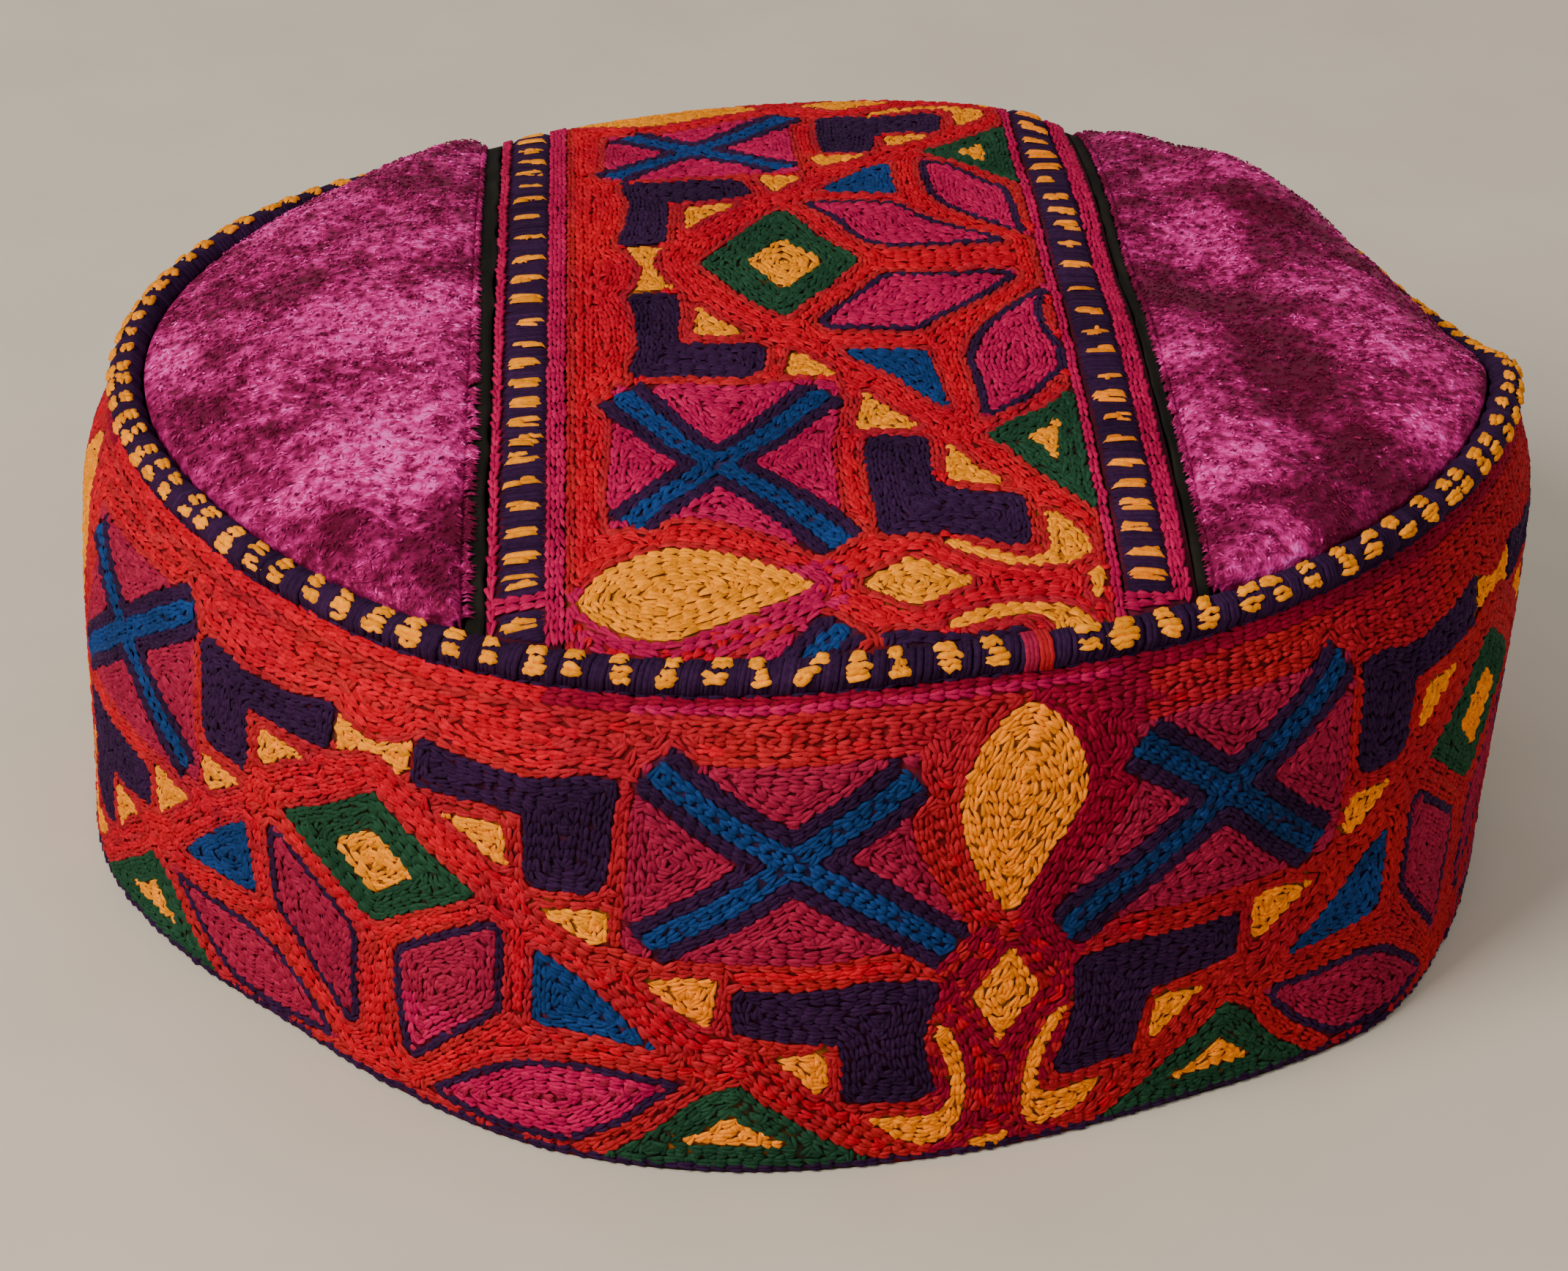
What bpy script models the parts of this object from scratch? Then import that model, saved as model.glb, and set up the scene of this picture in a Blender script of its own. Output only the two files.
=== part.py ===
# Hunza cap: a pillbox of embroidered cloth with a piped rim and a crown of one
# embroidered strip between two puffed velvet panels.
# Metres, +Z up. The front faces -Y, the crown strip runs front to back.
import math

import bmesh
import bpy

for old in list(bpy.data.objects):
    bpy.data.objects.remove(old, do_unlink=True)

MM = 0.001

# Side band: a soft round ring, a little wider left to right at its hem
RIM_RADIUS = 91.2
HEM_HALF_WIDTH = 96.2
HEM_HALF_DEPTH = 90.8
HEM_SHIFT_X = -1.0
HEM_SHIFT_Y = -0.5
RIM_HEIGHT = 68.4
RIM_SLOPE_X = 0.0567
RIM_SLOPE_Y = -0.0207
BAND_THICKNESS = 2.4
BAND_BULGE = 3.1
BAND_BULGE_LEFT = 0.3
BAND_BULGE_PEAK = 0.82
BAND_BULGE_POWER = 1.6
BAND_TOP_OUT = 1.6

# Rolled cord on the rim
CORD_RADIUS = 2.15
GAP = 0.3

# Crown: a low dome hung on the rim, 2 mm cloth
CROWN_THICKNESS = 2.0
CROWN_MIDDLE = 73.5
CROWN_PUFF = 3.5
CROWN_PUFF_POWER = 6.0
CROWN_RIDGE_START = 4.0
CROWN_RIDGE_END = 14.0
CROWN_RIDGE_SCALE = 1.7
CROWN_EDGE_LIFT = 1.0
VELVET_PUFF = 2.2
BORDER_LIFT = 0.35

# Edges of the strips across the crown, at its middle, and their slant
STRIP_SLANT = 0.024
SEAM_LEFT = -45.5
EDGING_LEFT = -42.9
STRIP_LEFT = -33.7
STRIP_RIGHT = 31.8
EDGING_RIGHT = 40.6
SEAM_RIGHT = 42.4

# How finely each piece is cut up
RING_STEPS = 96
BAND_ROWS = 8
CORD_SIDES = 8
CROWN_STEPS = 26
STRIP_COLUMNS = 12
BORDER_COLUMNS = 2
PANEL_COLUMNS = 9
PANEL_STEPS = 24

# Rim, by azimuth from the front: how far the soft edge lifts and moves out,
# and how far the crown puffs up just inside it
RIM_TABLE = [
    {"azimuth_deg": -180, "lift_mm": -9.0, "out_mm": 0.0, "puff_mm": 5.0},
    {"azimuth_deg": -155, "lift_mm": -8.0, "out_mm": 0.0, "puff_mm": 4.2},
    {"azimuth_deg": -137, "lift_mm": -4.5, "out_mm": 0.0, "puff_mm": 2.0},
    {"azimuth_deg": -118, "lift_mm": -1.6, "out_mm": 0.0, "puff_mm": 0.3},
    {"azimuth_deg": -90, "lift_mm": 0.2, "out_mm": 0.4, "puff_mm": 0.0},
    {"azimuth_deg": -62, "lift_mm": 0.8, "out_mm": -0.4, "puff_mm": 0.0},
    {"azimuth_deg": -45, "lift_mm": -0.1, "out_mm": 0.0, "puff_mm": 0.0},
    {"azimuth_deg": -34, "lift_mm": -1.1, "out_mm": 0.0, "puff_mm": 0.0},
    {"azimuth_deg": -15, "lift_mm": -0.5, "out_mm": 0.0, "puff_mm": 0.0},
    {"azimuth_deg": 5, "lift_mm": 1.2, "out_mm": 0.0, "puff_mm": 0.0},
    {"azimuth_deg": 22, "lift_mm": 0.5, "out_mm": 0.0, "puff_mm": 0.0},
    {"azimuth_deg": 45, "lift_mm": 0.1, "out_mm": 0.0, "puff_mm": 0.0},
    {"azimuth_deg": 65, "lift_mm": -0.4, "out_mm": 0.0, "puff_mm": 0.0},
    {"azimuth_deg": 78, "lift_mm": -2.4, "out_mm": -0.6, "puff_mm": 0.5},
    {"azimuth_deg": 92, "lift_mm": -9.8, "out_mm": -1.8, "puff_mm": 4.2},
    {"azimuth_deg": 106, "lift_mm": -12.4, "out_mm": -2.8, "puff_mm": 6.8},
    {"azimuth_deg": 120, "lift_mm": -10.6, "out_mm": -2.6, "puff_mm": 7.6},
    {"azimuth_deg": 134, "lift_mm": -10.0, "out_mm": -1.6, "puff_mm": 6.0},
    {"azimuth_deg": 146, "lift_mm": -10.2, "out_mm": -0.8, "puff_mm": 4.4},
    {"azimuth_deg": 155, "lift_mm": -8.3, "out_mm": 0.0, "puff_mm": 5.0},
]

# Hem, by azimuth from the front: how far it stands out or in
HEM_TABLE = [
    {"azimuth_deg": -180, "out_mm": 0.0},
    {"azimuth_deg": -100, "out_mm": 0.2},
    {"azimuth_deg": -76, "out_mm": 1.3},
    {"azimuth_deg": -62, "out_mm": -0.7},
    {"azimuth_deg": -48, "out_mm": -2.6},
    {"azimuth_deg": -36, "out_mm": -0.6},
    {"azimuth_deg": -22, "out_mm": 2.6},
    {"azimuth_deg": -10, "out_mm": 2.4},
    {"azimuth_deg": 8, "out_mm": -0.6},
    {"azimuth_deg": 25, "out_mm": -2.2},
    {"azimuth_deg": 36, "out_mm": -0.6},
    {"azimuth_deg": 48, "out_mm": 2.0},
    {"azimuth_deg": 60, "out_mm": 0.5},
    {"azimuth_deg": 72, "out_mm": -0.4},
    {"azimuth_deg": 100, "out_mm": 0.0},
]

# Creases of the velvet in plan: a line, its depth, its half width
CREASE_TABLE = [
    {"x0": 60.0, "y0": 60.0, "x1": 84.0, "y1": 32.0, "depth_mm": 1.6, "reach_mm": 5.0},
    {"x0": 50.0, "y0": 52.0, "x1": 56.0, "y1": -50.0, "depth_mm": 1.1, "reach_mm": 6.0},
    {"x0": 62.0, "y0": -22.0, "x1": 80.0, "y1": -4.0, "depth_mm": 0.7, "reach_mm": 6.0},
    {"x0": -52.0, "y0": -64.0, "x1": -60.0, "y1": -12.0, "depth_mm": 0.7, "reach_mm": 6.0},
    {"x0": -80.0, "y0": 8.0, "x1": -58.0, "y1": 30.0, "depth_mm": 0.6, "reach_mm": 5.0},
]


def ring_value(table, column, azimuth):
    """Smooth closed curve through a column of a table, by azimuth in radians."""
    angle = (math.degrees(azimuth) + 180.0) % 360.0 - 180.0
    count = len(table)
    i = 0
    while i + 1 < count and table[i + 1]["azimuth_deg"] <= angle:
        i += 1
    rows = [table[(i + k) % count] for k in (-1, 0, 1, 2)]
    at = [row["azimuth_deg"] for row in rows]
    if i == 0:
        at[0] -= 360.0
    if i + 1 >= count:
        at[2] += 360.0
    if i + 2 >= count:
        at[3] += 360.0
    val = [row[column] for row in rows]
    span = at[2] - at[1]
    t = (angle - at[1]) / span
    m1 = span * (val[2] - val[0]) / (at[2] - at[0])
    m2 = span * (val[3] - val[1]) / (at[3] - at[1])
    t2 = t * t
    t3 = t2 * t
    low = (2 * t3 - 3 * t2 + 1) * val[1] + (t3 - 2 * t2 + t) * m1
    high = (3 * t2 - 2 * t3) * val[2] + (t3 - t2) * m2
    return low + high


def rim_point(azimuth, inward=0.0):
    """Middle of the cord at an azimuth, in millimetres, moved inward if asked."""
    radius = RIM_RADIUS + ring_value(RIM_TABLE, "out_mm", azimuth)
    x = radius * math.sin(azimuth)
    y = -radius * math.cos(azimuth)
    z = RIM_HEIGHT + RIM_SLOPE_X * x + RIM_SLOPE_Y * y
    z += ring_value(RIM_TABLE, "lift_mm", azimuth)
    k = (radius - inward) / radius
    return x * k, y * k, z


def band_point(azimuth, t, inward):
    """Point on the wall, t from the hem to the top edge."""
    s = math.sin(azimuth)
    c = math.cos(azimuth)
    hem = ring_value(HEM_TABLE, "out_mm", azimuth)
    x0 = HEM_SHIFT_X + (HEM_HALF_WIDTH + hem) * s
    y0 = HEM_SHIFT_Y - (HEM_HALF_DEPTH + hem) * c
    rx, ry, rz = rim_point(azimuth, -BAND_TOP_OUT)
    top = rz - CORD_RADIUS - GAP
    if t < BAND_BULGE_PEAK:
        k = math.sin(0.5 * math.pi * t / BAND_BULGE_PEAK) ** BAND_BULGE_POWER
    else:
        k = math.cos(0.5 * math.pi * (t - BAND_BULGE_PEAK) / (1.0 - BAND_BULGE_PEAK))
    out = k * (BAND_BULGE - BAND_BULGE_LEFT * s) - inward
    x = x0 + (rx - x0) * t + out * s
    y = y0 + (ry - y0) * t - out * c
    return x, y, top * t


def crown_height(x, y):
    """Top face of the crown at a plan point."""
    azimuth = math.atan2(x, -y)
    rx, ry, rz = rim_point(azimuth)
    reach = math.hypot(rx, ry) - CORD_RADIUS - GAP
    rho = min(1.0, math.hypot(x, y) / reach)
    z = CROWN_MIDDLE * (1.0 - rho ** 2) + (rz + CROWN_EDGE_LIFT) * rho ** 2
    ridge = CROWN_RIDGE_SCALE * rho ** CROWN_RIDGE_START * (1.0 - rho ** CROWN_RIDGE_END)
    z += ring_value(RIM_TABLE, "puff_mm", azimuth) * ridge
    return z + CROWN_PUFF * (1.0 - rho ** CROWN_PUFF_POWER)


def velvet_height(x, y, u):
    """Top face of a velvet panel, u from its straight seam to the rim."""
    z = crown_height(x, y)
    z += VELVET_PUFF * math.sin(math.pi * min(1.0, max(0.0, u)) ** 0.8) ** 0.7
    for row in CREASE_TABLE:
        dx = row["x1"] - row["x0"]
        dy = row["y1"] - row["y0"]
        along = ((x - row["x0"]) * dx + (y - row["y0"]) * dy) / (dx * dx + dy * dy)
        t = min(1.0, max(0.0, along))
        gap = math.hypot(x - row["x0"] - t * dx, y - row["y0"] - t * dy)
        z -= row["depth_mm"] * math.exp(-((gap / row["reach_mm"]) ** 2))
    return z


def rim_y(x, side):
    """Plan point where the line x = const meets the crown's edge: side -1 front, 1 back."""
    y = side * math.sqrt(max(0.0, RIM_RADIUS ** 2 - x * x))
    for _ in range(6):
        azimuth = math.atan2(x, -y)
        rx, ry, rz = rim_point(azimuth, CORD_RADIUS + GAP)
        reach = math.hypot(rx, ry)
        y = side * math.sqrt(max(0.01, reach ** 2 - x * x))
    return y


def cloth_material(name, colour, roughness):
    """Plain cloth colour for a piece."""
    material = bpy.data.materials.new(name)
    material.use_nodes = True
    shader = material.node_tree.nodes["Principled BSDF"]
    shader.inputs["Base Color"].default_value = (*colour, 1.0)
    shader.inputs["Roughness"].default_value = roughness
    material.diffuse_color = (*colour, 1.0)
    return material


def add_object(name, verts, faces, material):
    """One closed mesh object, in metres, faces turned outward."""
    mesh = bpy.data.meshes.new(name)
    mesh.from_pydata([(x * MM, y * MM, z * MM) for x, y, z in verts], [], faces)
    work = bmesh.new()
    work.from_mesh(mesh)
    bmesh.ops.triangulate(work, faces=work.faces)
    bmesh.ops.recalc_face_normals(work, faces=work.faces)
    work.to_mesh(mesh)
    work.free()
    mesh.materials.append(material)
    part = bpy.data.objects.new(name, mesh)
    bpy.context.scene.collection.objects.link(part)
    return part


def tube_ring(name, sections, material):
    """Closed ring from a list of equal closed sections."""
    count = len(sections)
    sides = len(sections[0])
    verts = [point for section in sections for point in section]
    faces = []
    for i in range(count):
        j = (i + 1) % count
        for k in range(sides):
            m = (k + 1) % sides
            faces.append((i * sides + k, j * sides + k, j * sides + m, i * sides + m))
    return add_object(name, verts, faces, material)


def slab(name, top, material):
    """Closed sheet of the crown's thickness below a grid of top points."""
    rows = len(top)
    columns = len(top[0])
    verts = [point for row in top for point in row]
    below = len(verts)
    verts += [(x, y, z - CROWN_THICKNESS) for x, y, z in verts[:below]]
    faces = []
    for i in range(rows - 1):
        for j in range(columns - 1):
            a = i * columns + j
            b = a + 1
            c = a + columns + 1
            d = a + columns
            faces.append((a, b, c, d))
            faces.append((d + below, c + below, b + below, a + below))
    loop = [j for j in range(columns)]
    loop += [i * columns + columns - 1 for i in range(1, rows)]
    loop += [(rows - 1) * columns + j for j in range(columns - 2, -1, -1)]
    loop += [i * columns for i in range(rows - 2, 0, -1)]
    for k, a in enumerate(loop):
        b = loop[(k + 1) % len(loop)]
        faces.append((b, a, a + below, b + below))
    return add_object(name, verts, faces, material)


def strip_piece(name, left, right, columns, lift, material):
    """Part of the crown between two slanted lines, from the front rim to the back rim."""
    left_edge = left + 0.5 * GAP
    right_edge = right - 0.5 * GAP
    top = []
    for i in range(CROWN_STEPS + 1):
        v = 0.5 - 0.5 * math.cos(math.pi * i / CROWN_STEPS)
        v = 0.6 * i / CROWN_STEPS + 0.4 * v
        row = []
        for j in range(columns + 1):
            u = j / columns
            base = left_edge + (right_edge - left_edge) * u
            x_front = base
            x_back = base
            for _ in range(3):
                y_front = rim_y(x_front, -1)
                y_back = rim_y(x_back, 1)
                x_front = base + STRIP_SLANT * y_front
                x_back = base + STRIP_SLANT * y_back
            y = y_front + (y_back - y_front) * v
            x = base + STRIP_SLANT * y
            row.append((x, y, crown_height(x, y) + lift))
        top.append(row)
    return slab(name, top, material)


def velvet_panel(name, side, seam, material):
    """Rounded panel between the straight seam and the rim, side -1 left or 1 right."""
    edge = seam + side * 0.5 * GAP
    narrow = 1.2
    ends = []
    for end in (-1, 1):
        low = 0.0
        high = 0.5 * math.pi
        for _ in range(40):
            middle = 0.5 * (low + high)
            azimuth = side * (0.5 * math.pi + end * middle)
            rx, ry, rz = rim_point(azimuth, CORD_RADIUS + GAP)
            width = side * (rx - edge - STRIP_SLANT * ry)
            if width > narrow:
                low = middle
            else:
                high = middle
        ends.append(side * (0.5 * math.pi + end * low))
    top = []
    for i in range(PANEL_STEPS + 1):
        azimuth = ends[0] + (ends[1] - ends[0]) * i / PANEL_STEPS
        rx, ry, rz = rim_point(azimuth, CORD_RADIUS + GAP)
        sx = edge + STRIP_SLANT * ry
        row = []
        for j in range(PANEL_COLUMNS + 1):
            u = j / PANEL_COLUMNS
            x = sx + (rx - sx) * u
            row.append((x, ry, velvet_height(x, ry, u)))
        top.append(row)
    return slab(name, top, material)


red_cloth = cloth_material("band_embroidery", (0.50, 0.02, 0.03), 0.85)
strip_cloth = cloth_material("strip_embroidery", (0.55, 0.03, 0.03), 0.85)
cord_cloth = cloth_material("piping_cord", (0.03, 0.01, 0.06), 0.7)
border_cloth = cloth_material("border_thread", (0.60, 0.30, 0.02), 0.75)
edging_cloth = cloth_material("edging_tape", (0.02, 0.02, 0.018), 0.9)
velvet_cloth = cloth_material("velvet", (0.33, 0.02, 0.16), 0.8)

# Side band: the wall's closed section is its outer face down, its inner face up
wall = []
for step in range(RING_STEPS):
    azimuth = 2.0 * math.pi * step / RING_STEPS
    outer = [band_point(azimuth, r / BAND_ROWS, 0.0) for r in range(BAND_ROWS + 1)]
    inner = [band_point(azimuth, r / BAND_ROWS, BAND_THICKNESS) for r in range(BAND_ROWS + 1)]
    wall.append(outer + inner[::-1])
tube_ring("side_band", wall, red_cloth)

# Rim cord, round in section
cord = []
for step in range(RING_STEPS):
    azimuth = 2.0 * math.pi * step / RING_STEPS
    s = math.sin(azimuth)
    c = math.cos(azimuth)
    rx, ry, rz = rim_point(azimuth)
    section = []
    for k in range(CORD_SIDES):
        turn = 2.0 * math.pi * (k + 0.5) / CORD_SIDES
        out = CORD_RADIUS * math.cos(turn)
        section.append((rx + out * s, ry - out * c, rz + CORD_RADIUS * math.sin(turn)))
    cord.append(section)
tube_ring("rim_piping", cord, cord_cloth)

# Crown, from left to right
velvet_panel("crown_panel_left", -1, SEAM_LEFT, velvet_cloth)
strip_piece("edging_left", SEAM_LEFT, EDGING_LEFT, 1, 0.0, edging_cloth)
strip_piece("ladder_left", EDGING_LEFT, STRIP_LEFT, BORDER_COLUMNS, BORDER_LIFT, border_cloth)
strip_piece("crown_strip", STRIP_LEFT, STRIP_RIGHT, STRIP_COLUMNS, 0.0, strip_cloth)
strip_piece("ladder_right", STRIP_RIGHT, EDGING_RIGHT, BORDER_COLUMNS, BORDER_LIFT, border_cloth)
strip_piece("edging_right", EDGING_RIGHT, SEAM_RIGHT, 1, 0.0, edging_cloth)
velvet_panel("crown_panel_right", 1, SEAM_RIGHT, velvet_cloth)

# Stand the cap with the middle of its box over the origin
points = [v.co for part in bpy.context.scene.collection.objects for v in part.data.vertices]
shift_x = -0.5 * (min(p.x for p in points) + max(p.x for p in points))
shift_y = -0.5 * (min(p.y for p in points) + max(p.y for p in points))
shift_z = -min(p.z for p in points)
for part in bpy.context.scene.collection.objects:
    for v in part.data.vertices:
        v.co.x += shift_x
        v.co.y += shift_y
        v.co.z += shift_z
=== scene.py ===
import math

import bpy
import numpy as np
from mathutils import Matrix, Vector


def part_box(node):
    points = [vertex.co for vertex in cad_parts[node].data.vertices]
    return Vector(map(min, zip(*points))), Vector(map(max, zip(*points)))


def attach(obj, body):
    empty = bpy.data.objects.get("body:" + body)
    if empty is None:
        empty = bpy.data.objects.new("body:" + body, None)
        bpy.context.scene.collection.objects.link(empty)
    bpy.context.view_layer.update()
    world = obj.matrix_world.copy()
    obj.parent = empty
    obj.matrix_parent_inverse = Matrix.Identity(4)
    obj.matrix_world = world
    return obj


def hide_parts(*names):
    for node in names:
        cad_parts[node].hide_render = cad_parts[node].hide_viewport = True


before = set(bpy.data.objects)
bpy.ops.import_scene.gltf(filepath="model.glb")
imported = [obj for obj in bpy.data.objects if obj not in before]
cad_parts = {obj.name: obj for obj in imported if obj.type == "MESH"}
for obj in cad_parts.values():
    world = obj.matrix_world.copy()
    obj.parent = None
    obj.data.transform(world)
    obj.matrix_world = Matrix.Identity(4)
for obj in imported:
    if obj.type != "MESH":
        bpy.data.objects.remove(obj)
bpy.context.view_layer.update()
rng = np.random.default_rng(11)
MM = 0.001

# Sizes of the cap in millimetres, the same as the solids have
RIM_RADIUS = 91.2
HEM_HALF_WIDTH = 96.2
HEM_HALF_DEPTH = 90.8
HEM_SHIFT_X = -1.0
HEM_SHIFT_Y = -0.5
RIM_HEIGHT = 68.4
RIM_SLOPE_X = 0.0567
RIM_SLOPE_Y = -0.0207
BAND_THICKNESS = 2.4
BAND_BULGE = 3.1
BAND_BULGE_LEFT = 0.3
BAND_BULGE_PEAK = 0.82
BAND_BULGE_POWER = 1.6
BAND_TOP_OUT = 1.6
CORD_RADIUS = 2.15
GAP = 0.3
CROWN_THICKNESS = 2.0
CROWN_MIDDLE = 73.5
CROWN_PUFF = 3.5
CROWN_PUFF_POWER = 6.0
CROWN_RIDGE_START = 4.0
CROWN_RIDGE_END = 14.0
CROWN_RIDGE_SCALE = 1.7
CROWN_EDGE_LIFT = 1.0
VELVET_PUFF = 2.2
BORDER_LIFT = 0.35
STRIP_SLANT = 0.024
SEAM_LEFT = -45.5
EDGING_LEFT = -42.9
STRIP_LEFT = -33.7
STRIP_RIGHT = 31.8
EDGING_RIGHT = 40.6
SEAM_RIGHT = 42.4
RING_STEPS = 96
CORD_SIDES = 8

# How finely the cloths and the cord are divided
BAND_COLUMNS = 300
BAND_ROWS = 31
STRIP_ROWS = 97
STRIP_COLUMNS = 35
BORDER_COLUMNS = 5
CORE_STEPS = 240
CORE_SIDES = 12
VELVET_ROWS = 120
VELVET_COLUMNS = 38

# How far the cloths lie under their threads, and how far a tape's lines waver
BAND_DROP = 0.30
STRIP_DROP = 0.26
LADDER_DROP = 0.5
TAPE_DROP = 0.1
TAPE_SWAY = 0.3

# Least room from a stitch to the rim, the shortest line that takes one, and the table of a smooth noise
EDGE_ROOM = 0.4
SHORTEST_LINE = 0.7
NOISE_CELLS = 64

# Rim by azimuth from the front, in degrees: lift, outward move, puff of the crown
RIM_TABLE = [
    (-180, -9.0, 0.0, 5.0), (-155, -8.0, 0.0, 4.2), (-137, -4.5, 0.0, 2.0),
    (-118, -1.6, 0.0, 0.3), (-90, 0.2, 0.4, 0.0), (-62, 0.8, -0.4, 0.0),
    (-45, -0.1, 0.0, 0.0), (-34, -1.1, 0.0, 0.0), (-15, -0.5, 0.0, 0.0),
    (5, 1.2, 0.0, 0.0), (22, 0.5, 0.0, 0.0), (45, 0.1, 0.0, 0.0),
    (65, -0.4, 0.0, 0.0), (78, -2.4, -0.6, 0.5), (92, -9.8, -1.8, 4.2),
    (106, -12.4, -2.8, 6.8), (120, -10.6, -2.6, 7.6), (134, -10.0, -1.6, 6.0),
    (146, -10.2, -0.8, 4.4), (155, -8.3, 0.0, 5.0),
]

# Hem by azimuth from the front, in degrees: outward move
HEM_TABLE = [
    (-180, 0.0), (-100, 0.2), (-76, 1.3), (-62, -0.7), (-48, -2.6),
    (-36, -0.6), (-22, 2.6), (-10, 2.4), (8, -0.6), (25, -2.2),
    (36, -0.6), (48, 2.0), (60, 0.5), (72, -0.4), (100, 0.0),
]

# Creases of the velvet in plan: a line, its depth and half width
CREASE_TABLE = [
    (60.0, 60.0, 84.0, 32.0, 1.6, 5.0),
    (50.0, 52.0, 56.0, -50.0, 1.1, 6.0),
    (62.0, -22.0, 80.0, -4.0, 0.7, 6.0),
    (-52.0, -64.0, -60.0, -12.0, 0.7, 6.0),
    (-80.0, 8.0, -58.0, 30.0, 0.6, 5.0),
]

# Embroidery in chart millimetres: half a repeat runs from the leaf's axis to the diamond's
HALF_REPEAT = 79.0
BAND_TOP = 70.0
BAND_ARC = 95.0
LEAF_AZIMUTH = math.radians(10.9)
ROW = 1.17
STITCH = 1.85
STITCH_WIDTH = ROW * 1.04
EXTRA_STITCH = 1.3
GRID_STEP = 0.3
COVER_STEP = 0.4
COVER_REACH = 0.62
BARE_MARGIN = 0.25
REGIONS = ("yellow", "blue", "purple", "magenta", "green", "petals", "ground")


def ring_curve(table, column):
    """Smooth closed curve through a column of a table, as a function of azimuth."""
    at = np.array([row[0] for row in table], float)
    val = np.array([row[column] for row in table], float)
    at = np.concatenate([at - 360, at, at + 360])
    val = np.tile(val, 3)
    slope = np.zeros(len(at))
    slope[1:-1] = (val[2:] - val[:-2]) / (at[2:] - at[:-2])
    grid = np.arange(-180, 180.01, 0.5)
    i = np.clip(np.searchsorted(at, grid, side="right") - 1, 1, len(at) - 3)
    span = at[i + 1] - at[i]
    t = (grid - at[i]) / span
    t2, t3 = t ** 2, t ** 3
    out = (2 * t3 - 3 * t2 + 1) * val[i] + (t3 - 2 * t2 + t) * slope[i] * span
    out = out + (3 * t2 - 2 * t3) * val[i + 1] + (t3 - t2) * slope[i + 1] * span
    return lambda azimuth: np.interp((np.degrees(azimuth) + 180) % 360 - 180, grid, out)


rim_lift = ring_curve(RIM_TABLE, 1)
rim_out = ring_curve(RIM_TABLE, 2)
rim_puff = ring_curve(RIM_TABLE, 3)
hem_out = ring_curve(HEM_TABLE, 1)


def rim(azimuth, inward=0.0):
    """Middle of the rim cord."""
    radius = RIM_RADIUS + rim_out(azimuth)
    x = radius * np.sin(azimuth)
    y = -radius * np.cos(azimuth)
    z = RIM_HEIGHT + RIM_SLOPE_X * x + RIM_SLOPE_Y * y + rim_lift(azimuth)
    k = (radius - inward) / radius
    return x * k, y * k, z


def rim_reach(x, y, inward=0.0):
    """Distance from the cap's axis to the crown's edge, toward a plan point."""
    rx, ry, rz = rim(np.arctan2(x, -y), CORD_RADIUS + GAP + inward)
    return np.hypot(rx, ry)


def wrapped(angle):
    """Angle brought within half a turn either way."""
    return (angle + np.pi) % (2 * np.pi) - np.pi


def own_shift():
    """How far the solids stand from these formulas, since they are centred on their box."""
    low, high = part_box("rim_piping")
    azimuth = 2 * np.pi * np.arange(RING_STEPS) / RING_STEPS
    x, y, z = rim(azimuth)
    out = CORD_RADIUS * math.cos(math.pi / CORD_SIDES)
    shift = np.zeros(3)
    for axis, (middle, outward) in enumerate(((x, np.sin(azimuth)), (y, -np.cos(azimuth)))):
        ends = np.concatenate([middle + out * outward, middle - out * outward])
        shift[axis] = 0.5 * (low[axis] + high[axis]) / MM - 0.5 * (ends.min() + ends.max())
    return shift


SHIFT = own_shift()


def band_surface(azimuth, t, inward=0.0):
    """Point on the wall, t from the hem (0) to the top edge (1)."""
    azimuth, t = np.broadcast_arrays(np.asarray(azimuth, float), np.asarray(t, float))
    s, c = np.sin(azimuth), np.cos(azimuth)
    hem = hem_out(azimuth)
    x0 = HEM_SHIFT_X + (HEM_HALF_WIDTH + hem) * s
    y0 = HEM_SHIFT_Y - (HEM_HALF_DEPTH + hem) * c
    rx, ry, rz = rim(azimuth, -BAND_TOP_OUT)
    top = rz - CORD_RADIUS - GAP
    low = np.sin(0.5 * np.pi * np.clip(t, 0, 1) / BAND_BULGE_PEAK).clip(0, 1) ** BAND_BULGE_POWER
    high = np.cos(0.5 * np.pi * (t - BAND_BULGE_PEAK) / (1 - BAND_BULGE_PEAK))
    k = np.where(t < BAND_BULGE_PEAK, low, high)
    out = k * (BAND_BULGE - BAND_BULGE_LEFT * s) - inward
    return np.stack([x0 + (rx - x0) * t + out * s, y0 + (ry - y0) * t - out * c, top * t], -1) + SHIFT


def crown_height(x, y):
    """Top face of the crown at a plan point of the formulas."""
    azimuth = np.arctan2(x, -y)
    rx, ry, rz = rim(azimuth)
    reach = np.hypot(rx, ry) - CORD_RADIUS - GAP
    rho = np.minimum(1, np.hypot(x, y) / reach)
    z = CROWN_MIDDLE * (1 - rho ** 2) + (rz + CROWN_EDGE_LIFT) * rho ** 2
    ridge = CROWN_RIDGE_SCALE * rho ** CROWN_RIDGE_START * (1 - rho ** CROWN_RIDGE_END)
    return z + rim_puff(azimuth) * ridge + CROWN_PUFF * (1 - rho ** CROWN_PUFF_POWER)


def crown_surface(across, y, lift=0.0):
    """Point of the crown, across measured square to the strip at the crown's middle."""
    across, y = np.broadcast_arrays(np.asarray(across, float), np.asarray(y, float))
    x = across + STRIP_SLANT * y
    return np.stack([x, y, crown_height(x, y) + lift], -1) + SHIFT


def stretch_gap(x, y, x0, y0, x1, y1):
    """Distance of points from a straight stretch."""
    dx, dy = x1 - x0, y1 - y0
    k = np.clip(((x - x0) * dx + (y - y0) * dy) / (dx * dx + dy * dy), 0, 1)
    return np.hypot(x - x0 - k * dx, y - y0 - k * dy)


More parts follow.
